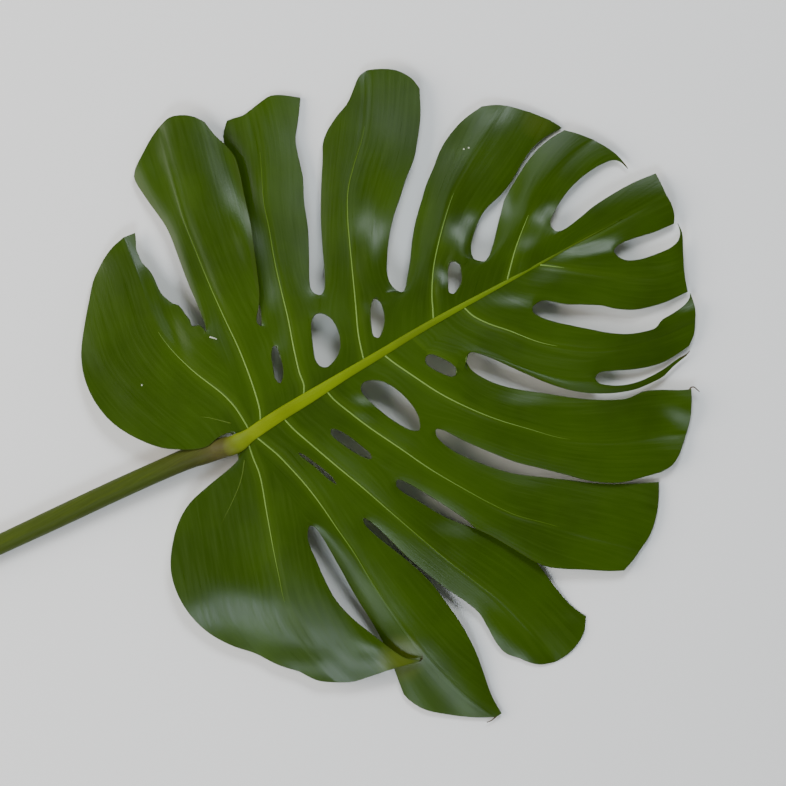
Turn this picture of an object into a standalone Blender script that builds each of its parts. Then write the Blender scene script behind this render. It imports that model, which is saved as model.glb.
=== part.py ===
"""A picked monstera leaf lying on a flat surface: one blade and one stalk.

The tables give millimetres in the leaf's own frame. x runs from the joint of stalk and blade to the tip,
y to the leaf's left and z up. Each side of the blade is a row of rays from the midrib to the margin:
veins, and the seams between two lobes with their holes and slits. Patches of lamina fill between rays.
"""

import math

import bmesh
import bpy
import numpy as np
from mathutils import Vector

MM = 0.001
BASE_AT = (21.0, -17.8)

ROWS = 18
PLAN_FINE = 4
PLAN_COLUMNS = 16
VEIN_COLUMNS = (0.0, 0.13, 0.42, 0.72, 1.0)
LAMINA = 0.8
KEEL_DEPTH = 2.6
VEIN_DEPTH = 1.1
RIDGE = 2.2
CROWN = 1.0

STALK_GAP = 0.35
STALK_SIDES = 24

# x, y of the midrib's middle, its width and the height of the lamina there
MIDRIB = (
    (-6, -2.0, 12.4, 20.8),
    (5, -1.3, 9.4, 21.2),
    (15, -0.5, 9.2, 21.5),
    (30, 0.3, 8.8, 21.8),
    (50, 0.7, 8.2, 21.8),
    (75, 1.5, 6.4, 21.2),
    (100, 1.9, 5.6, 20.2),
    (125, 2.5, 4.9, 18.9),
    (150, 2.4, 4.2, 17.4),
    (190, 1.4, 2.6, 14.6),
    (215, 0.9, 1.8, 12.8),
    (240, 0.4, 1.2, 11.0),
    (272, -0.6, 0.6, 9.2),
    (304, -1.0, 0.4, 8.0),
)

# x, y, z of the middle of the stalk, half its width and half its height
STALK = (
    (-262, 27.4, 6.05, 6.2, 6.5),
    (-236, 24.9, 6.05, 6.2, 6.5),
    (-210, 22.4, 6.05, 6.2, 6.5),
    (-190, 20.4, 6.2, 6.2, 6.5),
    (-160, 17.4, 6.9, 6.2, 6.5),
    (-120, 13.9, 8.2, 6.5, 6.6),
    (-80, 10.4, 9.5, 6.5, 6.6),
    (-50, 7.3, 10.5, 6.5, 6.6),
    (-34, 5.3, 11.2, 6.8, 6.8),
    (-25, 3.6, 12.0, 7.2, 6.8),
    (-18, 1.9, 13.8, 6.9, 6.4),
    (-12, 0.1, 17.6, 6.2, 5.6),
    (-6, -1.5, 25.1, 5.6, 3.8),
)


def vein(root, points, lift, end):
    """A side vein: its root along the midrib, then points to the margin; its bow and its end height."""
    return {"kind": "vein", "root": root, "points": points, "lift": lift, "end": end}


def seam(root, join, slit, before, after, rise, hole=None, between=None):
    """The line between two lobes: joined from the root to the slit, with the slit's two edges.

    The hole is its near point, its edge on each side and its far point. The rises are those of the two
    outer corners over the ends of their veins.
    """
    return {
        "kind": "seam",
        "root": root,
        "join": join,
        "slit": slit,
        "before": before,
        "after": after,
        "rise": rise,
        "hole": hole,
        "between": between,
    }


def margin(root, points, rise, bulge):
    """A free edge that starts at the notch; its rise at the end and half way, over its vein."""
    return {"kind": "margin", "root": root, "points": points, "rise": rise, "bulge": bulge}


LEFT = (
    margin(
        (-2.1, 5.4),
        [(-7.1, 7.1), (-14.3, 7.1), (-20, 5.9), (-27.1, 7.7), (-37.1, 13.2), (-44.3, 18.2), (-50, 23.9),
         (-59.3, 37.1), (-65, 50), (-67.3, 65.7), (-65.4, 81.4), (-60, 94.6), (-50, 108.2), (-40, 120),
         (-30.7, 130.4), (-25, 134.6)],
        -1.0,
        -3.0,
    ),
    [(-18.6, 138.6), (-10, 142.3)],
    vein(
        6.8,
        [(6.8, 10), (6.1, 19.3), (3.6, 29.3), (-5, 50.7), (-10.4, 70.7), (-11.6, 88), (-8, 106),
         (-4, 124), (-1, 144.1)],
        3.0,
        9.0,
    ),
    [],
    seam(
        11.2,
        [(12, 25), (13, 48)],
        (13.9, 67.5),
        [(13.4, 70.7), (12.1, 73.4), (8.2, 75), (8.7, 79.3), (8, 87), (4.6, 93.6), (1.8, 101.4),
         (2.5, 113), (0.9, 124.3), (2.1, 134.6), (6.3, 143)],
        [(15.7, 71.4), (17.4, 81.4), (19.5, 100), (21.8, 114.3), (24.4, 130), (24.9, 138.6),
         (23.2, 156.4), (22.5, 170), (23.2, 173.9)],
        (-1.0, -3.0),
    ),
    [(26.4, 177.5), (35, 183.2), (45, 189.3)],
    vein(
        15.7,
        [(18.2, 7.9), (20.4, 15), (23.7, 30.7), (26.4, 48.6), (28.2, 70), (30.6, 92.9), (33.6, 114.3),
         (36.4, 133.6), (40.7, 151.4), (46, 172), (52, 192.5)],
        3.6,
        7.0,
    ),
    [(60, 194.4), (66.5, 192.5), (73.6, 187.5)],
    seam(
        33,
        [],
        (45.4, 53.6),
        [(44.1, 56.4), (45.7, 60), (50.1, 65.1), (54.3, 71.4), (57.9, 79.3), (65, 96.4), (71.1, 111.4),
         (75.7, 126.4), (81.4, 143.6), (83.4, 153.6), (81.8, 162.9), (79.4, 171), (78, 181)],
        [(47, 55.7), (48.6, 59.3), (50, 62.5), (52.2, 69), (55.5, 78), (62.3, 96), (68.4, 111.4),
         (73, 126.4), (78.6, 143.6), (80.8, 154), (82.6, 164.5), (85, 169.5), (90.5, 175)],
        (3.5, -1.5),
        hole=(
            (37.9, 16.9),
            [(36.4, 20), (39.9, 30.7), (42.1, 35.7)],
            [(42.9, 21.4), (45.6, 27.9), (47.1, 34.3), (47.7, 37.9)],
            (46.1, 39.4),
        ),
    ),
    [(94.3, 174.4), (100.7, 173)],
    vein(
        47.1,
        [(50, 8.6), (51.4, 16.4), (56.1, 32.1), (62.1, 49.3), (67.1, 66.4), (72.9, 85), (80, 104.3),
         (85, 119.3), (90, 130), (98.6, 147.9), (108, 173.7)],
        2.4,
        2.2,
    ),
    [(115, 174.6), (121, 175), (126.4, 172.7)],
    seam(
        63,
        [],
        (86.8, 52),
        [(83.9, 55), (83.4, 58.6), (85.4, 63.6), (92.9, 77.1), (100.7, 92.1), (107.1, 108),
         (113.6, 120.7), (117.5, 132.9), (121.4, 143.6), (128.6, 152.9), (137.1, 164.6)],
        [(90, 53.2), (95, 60.7), (102.1, 75.7), (110.7, 93), (122.1, 112.1), (130, 124.3),
         (135.7, 133.6), (142.1, 138.9)],
        (-1.0, 2.0),
        hole=(
            (67.9, 11.1),
            [(64.6, 13.6), (63.7, 17.9), (65.7, 24.3), (71.4, 37.1), (74.3, 41.4)],
            [(72.1, 11.8), (77.1, 13.9), (81.4, 17.9), (84.6, 24.3), (85.7, 30.7), (85.4, 35.7),
             (82.9, 40.7)],
            (78.9, 43.2),
        ),
    ),
    [(151.4, 143.4), (160.7, 146.8), (167.9, 152.1), (175.7, 157.9)],
    vein(
        90,
        [(91.8, 10), (95, 19.3), (102.9, 36.4), (111.4, 55), (118, 69.5), (125.7, 85.7), (134.3, 100),
         (145, 111.4), (159.3, 125), (171, 141), (181.5, 158.6)],
        3.0,
        5.0,
    ),
    [(187.9, 155.7), (197.1, 149.3), (202.9, 140)],
    seam(
        103,
        [],
        (131.8, 28.2),
        [(128.9, 31.4), (127.7, 36.4), (128.6, 41.4), (131.4, 47.1), (140, 60), (149.3, 70.7),
         (159.3, 79.6), (169.3, 88.6), (178.9, 96.2), (187.1, 105.7), (195.7, 117.1), (204, 132.5)],
        [(135, 30), (138.6, 34.3), (145.7, 42.9), (152.9, 52.9), (160.7, 62.1), (169.3, 70.4),
         (177.9, 78.6), (187.1, 85.4), (196.4, 92.9), (206, 98), (218, 101.9), (232, 103.4)],
        (2.0, 1.0),
        hole=(
            (104.6, 10.9),
            [(102.3, 13.6), (103.9, 18.6), (106.8, 25), (110.4, 30.7), (115, 34)],
            [(107.9, 12.5), (111.4, 15.7), (114.6, 20.7), (116.2, 25.5)],
            (116.7, 30),
        ),
    ),
    [(240, 99.9)],
    vein(
        140,
        [(142.9, 10), (146.4, 17.1), (155.7, 31.4), (167.1, 44.3), (179.3, 56.4), (189.3, 65),
         (203, 73.5), (217, 81), (232, 88.5), (246, 95.8)],
        2.4,
        5.0,
    ),
    [(255, 86.6), (260, 80.5), (265, 73.8)],
    seam(
        156,
        [],
        (184.3, 19.6),
        [(180.7, 22.5), (180.4, 26.4), (182.5, 31.4), (191.4, 40.4), (201.4, 46.8), (215, 50.2),
         (225, 54.3), (235, 60), (245, 64.9), (255, 67.2), (268.4, 67.2)],
        [(187.9, 20), (195, 25.7), (205, 36), (210, 41), (215, 46), (220, 49.2), (230, 54.8),
         (240, 59.8), (250, 63.3), (260, 64.9), (269, 65)],
        (-2.5, 1.0),
        hole=(
            (158.2, 11.3),
            [(156.3, 14.3), (157.9, 17.1), (160, 21.4), (163.6, 27.1), (167.1, 30), (170, 28.2)],
            [(164.3, 13.6), (167.5, 16.4), (169.6, 21)],
            (171, 24.5),
        ),
    ),
    [(275, 59)],
    vein(
        191.8,
        [(195.7, 6.4), (205.7, 16.4), (215, 24.2), (226, 32.5), (240, 41), (255, 47), (270, 50.3),
         (281.5, 51)],
        1.8,
        6.0,
    ),
    [(286, 43.3), (289.3, 36), (290.8, 29.5)],
    seam(
        224,
        [],
        (234.5, 12.3),
        [(232.6, 14), (231.8, 16.8), (232.6, 20), (240, 25.6), (250, 30.6), (260, 33.7), (270, 35.2),
         (280, 35.2), (286.5, 33.7), (289.6, 30.5), (291.2, 24.8)],
        [(238, 11.6), (250, 13), (260, 14.8), (270, 15.5), (280, 15.7), (290, 15.4), (304.6, 13.5)],
        (-1.5, 0.5),
    ),
    [(304.3, 7)],
)

RIGHT = (
    margin(
        (-5.7, -9.6),
        [(-10, -11.8), (-16.4, -13.2), (-34.3, -16.1), (-47.9, -19.3), (-59.3, -25.7), (-70, -36.1),
         (-78.6, -48.9), (-82.5, -62.9), (-82.5, -78.6), (-78.2, -94.3), (-69.6, -108.6),
         (-59.5, -120), (-51, -133), (-41.4, -143.6)],
        0.0,
        -6.0,
    ),
    [(-34.3, -154)],
    vein(
        2.1,
        [(0.4, -14.3), (-1.4, -25.7), (-9.3, -47.9), (-17.5, -70.7), (-22.5, -85.7), (-27.9, -102.9),
         (-29.3, -121.4), (-28.2, -142), (-24, -161.5)],
        3.0,
        9.0,
    ),
    [(-15.7, -165.7), (-5, -168), (9.3, -170.9), (20.7, -174)],
    seam(
        5.4,
        [(7.5, -35)],
        (9.6, -68.4),
        [(6.4, -71.4), (3.9, -76.4), (2.1, -90), (0.4, -107), (0.6, -118), (3.6, -131), (7.5, -141.4),
         (11.4, -151), (15, -160), (20, -169.3), (27.5, -175.2)],
        [(11.8, -70.7), (12.7, -77), (12.6, -100), (12.3, -120), (12.9, -143), (12.4, -158),
         (10.4, -171.4), (8.9, -180), (7.5, -188.5)],
        (4.0, -1.0),
    ),
    [(8.6, -193), (13.6, -202.5), (25.7, -213.4), (38.6, -222.9)],
    vein(
        8.6,
        [(11, -11), (14.3, -20), (17.3, -32), (20, -45), (22, -60), (23.4, -78.6), (24.9, -95.7),
         (25.4, -117), (26.5, -137), (29, -160), (34, -187), (41, -210), (50, -229.2)],
        2.4,
        3.0,
    ),
    [],
    seam(
        20,
        [(22.8, -15)],
        (41, -81),
        [(39.5, -83.6), (40, -87.9), (43.6, -98.6), (50.4, -115.7), (54.3, -127), (57.1, -137.9),
         (58.6, -150.7), (59.9, -164.3), (60.2, -173), (59.4, -187.9), (57.1, -201.4), (54.6, -214),
         (54, -222), (54.2, -229)],
        [(42.5, -82.9), (45.7, -91.4), (48.9, -103), (52.1, -115), (56.4, -127.1), (63.6, -145),
         (70.7, -160), (73.5, -168.5), (73.6, -178.6), (73.4, -190), (75.3, -198.2), (81, -205)],
        (0.0, 1.0),
        hole=(
            (26, -25.7),
            [(26.4, -28.6), (30.5, -38.6), (34.3, -50)],
            [(27.5, -26.8), (31.4, -34.3), (35.4, -44.3), (37.2, -51)],
            (36.9, -54.6),
        ),
    ),
    [(83.9, -209), (90, -214.6)],
    vein(
        29,
        [(30.7, -11), (35, -23.6), (42.1, -43.6), (49.6, -63.9), (56.8, -85), (63.6, -104.6),
         (72.1, -128), (80.4, -148.6), (87.5, -166), (94, -190), (99, -218)],
        2.4,
        1.0,
    ),
    [(107, -217.9), (115.7, -215.7), (124, -210.8)],
    seam(
        45,
        [(48.5, -14)],
        (70.7, -70.9),
        [(68.4, -73.6), (69.3, -77.9), (75, -88.2), (83.6, -104), (91.8, -115), (97, -121),
         (103.5, -128), (109, -136), (114.5, -146), (119.2, -156), (120.8, -165), (122, -177),
         (124, -188.5), (126.4, -196.4), (129.7, -203)],
        [(72.5, -71.9), (77.5, -79.3), (85.7, -94.3), (91.2, -105), (95.9, -115), (97.5, -120.5),
         (102, -127.3), (107, -135.3), (112.3, -145), (118.6, -156.4), (123.2, -162.9),
         (130, -168.6), (145, -178.2), (156.4, -185.7), (164.5, -190)],
        (-0.5, 3.0),
        hole=(
            (51.4, -23.2),
            [(49.1, -25.7), (50, -29.3), (54.6, -40), (60, -48.9)],
            [(53.2, -24.3), (57.9, -31.4), (62.1, -41.4), (64.5, -49)],
            (63.4, -51.8),
        ),
    ),
    [(173.6, -186.8)],
    vein(
        60.5,
        [(61.6, -8), (66.4, -20.7), (72.1, -34.3), (82.1, -55), (91.4, -74.6), (101.8, -93.2),
         (113.2, -112.1), (123.6, -126.8), (136, -139.3), (148, -151.5), (164, -167), (180, -183.8)],
        2.4,
        4.0,
    ),
    [(188.6, -179.6), (197.1, -172.5), (203.9, -164.3)],
    seam(
        78,
        [],
        (107.3, -55.8),
        [(105.4, -58.6), (105.7, -62.9), (110, -73.2), (121.4, -89), (135, -103.6), (148.6, -114),
         (163.6, -125), (172.1, -131.6), (184, -139.6), (195, -145.6), (210.6, -153.5)],
        [(110, -57.5), (118.6, -70.4), (128.6, -84), (140, -98.2), (150, -107.9), (162.9, -120.4),
         (173.6, -131), (182, -137.2), (191, -142.2), (202, -145.3), (215, -148.7)],
        (-1.0, 2.0),
        hole=(
            (82.5, -8.2),
            [(79.3, -10.7), (78.7, -14.3), (81.4, -24.3), (86.1, -36.4), (92.1, -47), (95.2, -50.2)],
            [(86.6, -8.9), (90.7, -11.1), (94.3, -14.6), (99.6, -25), (102.2, -37.9), (101.6, -44.5)],
            (98.2, -51.1),
        ),
    ),
    [(222.1, -148.6), (229.3, -145.4), (236.4, -139.3)],
    vein(
        102.5,
        [(104.5, -5.5), (111.4, -20), (120, -37.1), (130.7, -53.6), (142.9, -69.3), (157.9, -85.2),
         (172, -99.6), (185, -108.5), (200, -117), (220, -126), (241, -135.3)],
        2.4,
        5.0,
    ),
    [(247, -129), (252.5, -121)],
    seam(
        121,
        [],
        (147.9, -25.4),
        [(144.8, -28.3), (144.2, -32), (145, -36.4), (151, -46.9), (159.5, -56.3), (168.6, -64.1),
         (178.6, -71.8), (188.6, -80), (198.6, -87.3), (210, -94.2), (220, -98.9), (230, -99.9),
         (240, -104.4), (250, -110.4), (256.8, -113.5)],
        [(150.4, -25.8), (153.6, -28.6), (160, -36.4), (167.1, -46.4), (174.3, -56.4), (181.4, -65.7),
         (190, -75.2), (198.6, -82.5), (207.5, -88.2), (217, -92.9), (227, -96.3), (237, -97.6),
         (246, -97.9), (253.6, -95.8), (265, -93.9)],
        (1.5, 0.0),
        hole=(
            (124.8, -13.4),
            [(122, -16.8), (124.3, -22.8), (127.5, -27.7), (130.4, -31.4), (133, -33.4), (136, -32)],
            [(127.5, -13.8), (130.4, -16.6), (133.6, -21.2), (135.8, -25)],
            (136.9, -28.5),
        ),
    ),
    [],
    seam(
        142,
        [(152, -19), (164, -36), (178, -54), (193, -69)],
        (208.3, -80),
        [(209, -81.8), (211, -84), (220, -89.8), (230, -93.1), (240, -94.2), (250, -94.2),
         (257.5, -93.3), (265, -93.1)],
        [(208.8, -77.8), (212, -76), (220, -79), (230, -84), (240, -87.9), (250, -90.2), (260, -90.3),
         (269, -89.6)],
        (0.0, 0.0),
        between=0.35,
    ),
    [(275.7, -84.4)],
    vein(
        160,
        [(162.1, -6.2), (168.6, -16), (176.4, -24.8), (189.3, -40.7), (202, -52), (216, -62),
         (235, -70.5), (256, -76.5), (279.5, -79)],
        1.8,
        5.0,
    ),
    [(283.8, -71.5)],
    seam(
        188,
        [(191.5, -10)],
        (196.6, -20.5),
        [(195.5, -22.8), (197.1, -26.8), (202, -32.9), (210, -40.4), (220, -49.3), (230, -57.9),
         (240, -64.5), (250, -68.4), (257, -69.7), (262.3, -67.4), (270, -67.2), (280, -66.1),
         (284.5, -64), (286.2, -61.8)],
        [(198.6, -19.6), (202.9, -19.3), (207.1, -21.4), (215, -28.3), (225, -34.5), (235, -41),
         (240, -45.8), (250, -52.6), (260, -56.3), (270, -58.6), (285.2, -60)],
        (0.5, -0.5),
    ),
    [(287.5, -53)],
    vein(
        214,
        [(221, -5), (232, -13.5), (246, -24.5), (262, -36.5), (276, -44), (290, -47)],
        1.2,
        6.5,
    ),
    [(295, -37), (300.4, -26.5)],
    seam(
        230,
        [(243, -9)],
        (257.8, -16.4),
        [(258.6, -20), (262, -24.4), (270, -28.1), (280, -30.2), (290, -31.2), (296.4, -29.5),
         (300, -25.5), (301.1, -20.3)],
        [(258.2, -14.9), (260.5, -13.7), (265, -13.3), (275, -15), (285, -17.4), (298.8, -19.1)],
        (0.5, -0.5),
    ),
    [(301.5, -15), (303.4, -8)],
)

APEX_ROOT = 240
APEX_TIP = (303.6, -1.0)

BLADE_GREEN = (0.045, 0.092, 0.006, 1.0)
STALK_GREEN = (0.10, 0.15, 0.012, 1.0)


def at(table, x, column):
    """One column of a table at a place along the leaf, eased through its rows."""
    rows = np.array(table, float)
    return float(curve_value(rows[:, 0], rows[:, column], x))


def curve_value(places, values, x):
    """A smooth curve through the values, without the overshoot of a plain cubic."""
    x = min(max(x, places[0]), places[-1])
    i = min(int(np.searchsorted(places, x, side="right")) - 1, len(places) - 2)
    steps = np.diff(values) / np.diff(places)
    slopes = np.concatenate([[steps[0]], (steps[1:] + steps[:-1]) / 2, [steps[-1]]])
    width = places[i + 1] - places[i]
    k = (x - places[i]) / width
    start = (2 * k**3 - 3 * k**2 + 1) * values[i] + (k**3 - 2 * k**2 + k) * width * slopes[i]
    finish = (3 * k**2 - 2 * k**3) * values[i + 1] + (k**3 - k**2) * width * slopes[i + 1]
    return start + finish


def dense(points, closed=False, steps=12):
    """A curve through the points as many short steps, and where each point stands in it."""
    points = np.array(points, float)
    if closed:
        points = np.vstack([points[-1], points, points[0], points[1]])
    knots = np.concatenate([[0], np.cumsum(np.linalg.norm(np.diff(points, axis=0), axis=1) ** 0.5)])
    chords = np.diff(points, axis=0) / np.diff(knots)[:, None]
    slopes = np.empty_like(points)
    slopes[0], slopes[-1] = chords[0], chords[-1]
    before, after = np.diff(knots)[:-1, None], np.diff(knots)[1:, None]
    slopes[1:-1] = (chords[:-1] * after + chords[1:] * before) / (before + after)
    first, last = (1, len(points) - 2) if closed else (0, len(points) - 1)
    line = []
    for i in range(first, last):
        width = knots[i + 1] - knots[i]
        for k in np.arange(steps) / steps:
            line.append(
                (2 * k**3 - 3 * k**2 + 1) * points[i]
                + (k**3 - 2 * k**2 + k) * width * slopes[i]
                + (3 * k**2 - 2 * k**3) * points[i + 1]
                + (k**3 - k**2) * width * slopes[i + 1]
            )
    line.append(points[last])
    return np.array(line), np.arange(last - first + 1) * steps


def sample(line, fractions):
    """Points of a line of short steps at fractions of its length."""
    lengths = np.concatenate([[0], np.cumsum(np.linalg.norm(np.diff(line, axis=0), axis=1))])
    wanted = np.asarray(fractions) * lengths[-1]
    return np.column_stack([np.interp(wanted, lengths, line[:, i]) for i in range(line.shape[1])])


def length(line):
    return float(np.linalg.norm(np.diff(line, axis=0), axis=1).sum())


def midrib_side(x, side):
    """The edge of the midrib's bed on one side of it."""
    return (x, at(MIDRIB, x, 1) + side * 0.4 * at(MIDRIB, x, 2))


def rounded(steps):
    """Fractions that lie closer together at both ends, for the edge of a hole."""
    even = np.arange(steps + 1) / steps
    return 0.35 * even + 0.65 * (0.5 - 0.5 * np.cos(math.pi * even))


def widening(steps):
    """Fractions that lie closer together at the start, for the inner end of a slit."""
    return (np.arange(steps + 1) / steps) ** 1.35


def shape_seam(ray, side, fine):
    """Gives a seam its two edges, row by row, and the row where its slit starts."""
    root = midrib_side(ray["root"], side)
    slit = list(reversed(ray["before"])) + [ray["slit"]] + ray["after"]
    edges, marks = dense(slit)
    middle = marks[len(ray["before"])]
    before_slit, after_slit = edges[middle::-1], edges[middle:]
    if ray["hole"]:
        near, hole_before, hole_after, far = ray["hole"]
        rim, marks = dense([near] + hole_before + [far] + list(reversed(hole_after)), closed=True)
        turn = marks[len(hole_before) + 1]
        before_hole, after_hole = rim[: turn + 1], rim[: turn - 1 : -1]
        stem, _ = dense([root] + ray["join"] + [near])
        bridge, _ = dense([far, ray["slit"]])
        parts = [length(stem), length(before_hole), length(bridge)]
    else:
        stem, _ = dense([root] + ray["join"] + [ray["slit"]])
        parts = [length(stem)]
    whole = sum(parts) + 0.5 * (length(before_slit) + length(after_slit))
    counts = [max(1, round(ROWS * part / whole)) for part in parts]
    if ray["hole"]:
        counts[1] = max(2, counts[1])
    counts = [count * fine for count in counts]
    rest = ROWS * fine - sum(counts)
    lines = []
    for slit_side, hole_side in ((before_slit, "before"), (after_slit, "after")):
        line = [sample(stem, np.arange(counts[0] + 1) / counts[0])]
        if ray["hole"]:
            rim_side = before_hole if hole_side == "before" else after_hole
            line.append(sample(rim_side, rounded(counts[1]))[1:])
            line.append(sample(bridge, np.arange(counts[2] + 1) / counts[2])[1:])
        line.append(sample(slit_side, widening(rest))[1:])
        lines.append(np.vstack(line))
    ray["lines"] = lines
    ray["opens"] = sum(counts) / (ROWS * fine)


def shape_side(rays, side, fine):
    """Gives every ray of one side of the blade its lines in plan and its heights."""
    count = ROWS * fine
    s = np.arange(count + 1) / count
    for ray in rays:
        if ray["kind"] == "seam":
            shape_seam(ray, side, fine)
            continue
        root = ray["root"] if ray["kind"] == "margin" else midrib_side(ray["root"], side)
        line = sample(dense([root] + ray["points"])[0], s)
        ray["lines"] = [line, line]
    veins = [i for i, ray in enumerate(rays) if ray["kind"] == "vein"]
    for i in veins:
        start = at(MIDRIB, rays[i]["lines"][0][0, 0], 3)
        bow = 4 * s * (1 - s) * rays[i]["lift"]
        rays[i]["high"] = [start * (1 - s) + rays[i]["end"] * s + bow] * 2
    for i, ray in enumerate(rays):
        if ray["kind"] == "vein":
            continue
        earlier = max([j for j in veins if j < i], default=min(veins))
        later = min([j for j in veins if j > i], default=max(veins))
        if ray["between"] if ray["kind"] == "seam" else False:
            earlier = later
        low, high = rays[earlier]["high"][0], rays[later]["high"][0]
        start = at(MIDRIB, ray["lines"][0][0, 0], 3)
        if ray["kind"] == "margin":
            open_part = 1 - (1 - s) ** 2
            edge = high + (start - high[0]) * (1 - s) ** 2 + ray["rise"] * open_part
            ray["high"] = [edge + 4 * s * (1 - s) * ray["bulge"]] * 2
            continue
        ridge = RIDGE * np.sin(math.pi / 2 * np.minimum(1, s / 0.22))
        if ray["between"]:
            ridge = ridge * ray["between"]
        joined = start + (low + high - low[0] - high[0]) / 2 + ridge
        opens = ray["opens"]
        x = np.clip((s - opens) / (1 - opens), 0, 1)
        ray["high"] = []
        for own, rise in ((low, ray["rise"][0]), (high, ray["rise"][1])):
            step = np.interp(opens, s, joined) - np.interp(opens, s, own)
            edge = own + step * (1 - x) ** 2 + rise * (1 - (1 - x) ** 2)
            ray["high"].append(np.where(s <= opens, joined, edge))


def apex_ray(fine):
    """The last stretch of the midrib, which both halves of the apex share."""
    count = ROWS * fine
    s = np.arange(count + 1) / count
    root = (APEX_ROOT, at(MIDRIB, APEX_ROOT, 1))
    line = sample(dense([root, APEX_TIP])[0], s)
    high = np.array([at(MIDRIB, x, 3) for x in line[:, 0]])
    return {"kind": "vein", "lines": [line, line], "high": [high, high]}


def columns(first, second, fine):
    """How the columns of a patch lie between its rays: closer together beside a vein."""
    base = np.array(VEIN_COLUMNS)
    if first["kind"] != "vein" and second["kind"] == "vein":
        base = 1 - base[::-1]
    elif first["kind"] != "vein":
        base = np.arange(len(base)) / (len(base) - 1)
    marks = np.arange(len(base))
    return np.interp(np.arange((len(base) - 1) * fine + 1) / fine, marks, base)


def relaxed(plan, rounds=160):
    """Evens out a grid inside its fixed outline, so that no cell of it folds over."""
    for _ in range(rounds):
        along = (plan[2:, 1:-1] - plan[:-2, 1:-1]) / 2
        across = (plan[1:-1, 2:] - plan[1:-1, :-2]) / 2
        g11 = (along**2).sum(axis=2, keepdims=True) + 1e-9
        g22 = (across**2).sum(axis=2, keepdims=True) + 1e-9
        g12 = (along * across).sum(axis=2, keepdims=True)
        mixed = plan[2:, 2:] - plan[2:, :-2] - plan[:-2, 2:] + plan[:-2, :-2]
        wanted = g22 * (plan[2:, 1:-1] + plan[:-2, 1:-1]) + g11 * (plan[1:-1, 2:] + plan[1:-1, :-2])
        wanted = (wanted - 0.5 * g12 * mixed) / (2 * (g11 + g22))
        plan[1:-1, 1:-1] += 0.8 * (wanted - plan[1:-1, 1:-1])
    return plan


def plan_of(first, second, edge_points, t):
    """Where the points of a patch lie in plan, at the finest rows and at the wanted columns."""
    count = len(first["lines"][1])
    s = (np.arange(count) / (count - 1))[:, None, None]
    even = np.arange(PLAN_COLUMNS + 1) / PLAN_COLUMNS
    k = even[None, :, None]
    a, b = first["lines"][1][:, None], second["lines"][0][:, None]
    inner = (1 - k) * a[:1] + k * b[:1]
    outer = sample(dense([a[-1, 0]] + list(edge_points) + [b[-1, 0]])[0], even)[None]
    grid = (1 - k) * a + k * b + (1 - s) * inner + s * outer
    grid = grid - (1 - s) * ((1 - k) * a[:1] + k * b[:1]) - s * ((1 - k) * a[-1:] + k * b[-1:])
    grid = relaxed(grid)
    return np.array([[np.interp(t, even, row[:, i]) for i in (0, 1)] for row in grid]).transpose(0, 2, 1)


def patch(first, second, edge_points, fine):
    """The lamina between two rays, as a grid of points: rows go outwards, columns from ray to ray."""
    t = columns(first, second, fine)
    plan = plan_of(first, second, edge_points, t)
    s = (np.arange(len(plan)) / (len(plan) - 1))[:, None]
    if first["kind"] == "vein" and second["kind"] != "vein":
        ease = np.sin(math.pi / 2 * t)
        across = t
    elif second["kind"] == "vein" and first["kind"] != "vein":
        ease = 1 - np.sin(math.pi / 2 * (1 - t))
        across = 1 - t
    else:
        ease = t
        across = t
    a, b = first["high"][1][:, None], second["high"][0][:, None]
    inner = np.array([at(MIDRIB, x, 3) for x in plan[0, :, 0]])
    inner[0], inner[-1] = a[0, 0], b[0, 0]
    high = (1 - ease) * a + ease * b + (1 - s) * (inner - (1 - ease) * a[0] - ease * b[0])
    swell = np.sin(math.pi * (0.06 + 0.62 * s)) * np.minimum(1, s / 0.1)
    high = high + CROWN * swell * np.sin(math.pi * across**0.85)
    step = PLAN_FINE // fine
    return np.dstack([plan, high])[::step]


def sheet(fine):
    """Every patch of the blade, and the keel depth at each of their points."""
    patches = []
    for table, side in ((LEFT, 1), (RIGHT, -1)):
        rays, edges = [dict(ray) for ray in table[0::2]], table[1::2]
        shape_side(rays, side, PLAN_FINE)
        rays.append(apex_ray(PLAN_FINE))
        for i, edge_points in enumerate(edges):
            grid = patch(rays[i], rays[i + 1], edge_points, fine)
            rib = np.zeros(grid.shape[:2])
            fade = 1 - 0.8 * np.arange(len(rib)) / (len(rib) - 1)
            for ray, column in ((rays[i], 0), (rays[i + 1], -1)):
                if ray["kind"] == "vein":
                    rib[:, column] = VEIN_DEPTH * fade
            keel = np.array([at(MIDRIB, x, 2) for x in grid[0, :, 0]])
            rib[0] = np.maximum(rib[0], KEEL_DEPTH * keel / 9.4)
            patches.append((side, grid, rib))
    return patches


def lay_patch(bm, grid, rib, side, depth, known):
    """Adds one patch to the mesh and returns its row of points beside the midrib."""
    rows, across = grid.shape[:2]
    points = []
    for i in range(rows):
        line = []
        for j in range(across):
            spot = placed(grid[i, j])
            key = tuple(round(value / MM, 2) for value in spot)
            if key not in known:
                known[key] = bm.verts.new(spot)
            known[key][depth] = max(known[key][depth], float(rib[i, j]))
            line.append(known[key])
        points.append(line)
    for i in range(rows - 1):
        for j in range(across - 1):
            corners = [points[i][j], points[i][j + 1], points[i + 1][j + 1], points[i + 1][j]]
            bm.faces.new(corners if side > 0 else corners[::-1])
    return points[0]


def placed(point):
    """A point of the tables in metres, with the leaf's box over the origin."""
    return Vector(((point[0] - BASE_AT[0]) * MM, (point[1] - BASE_AT[1]) * MM, point[2] * MM))


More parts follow.
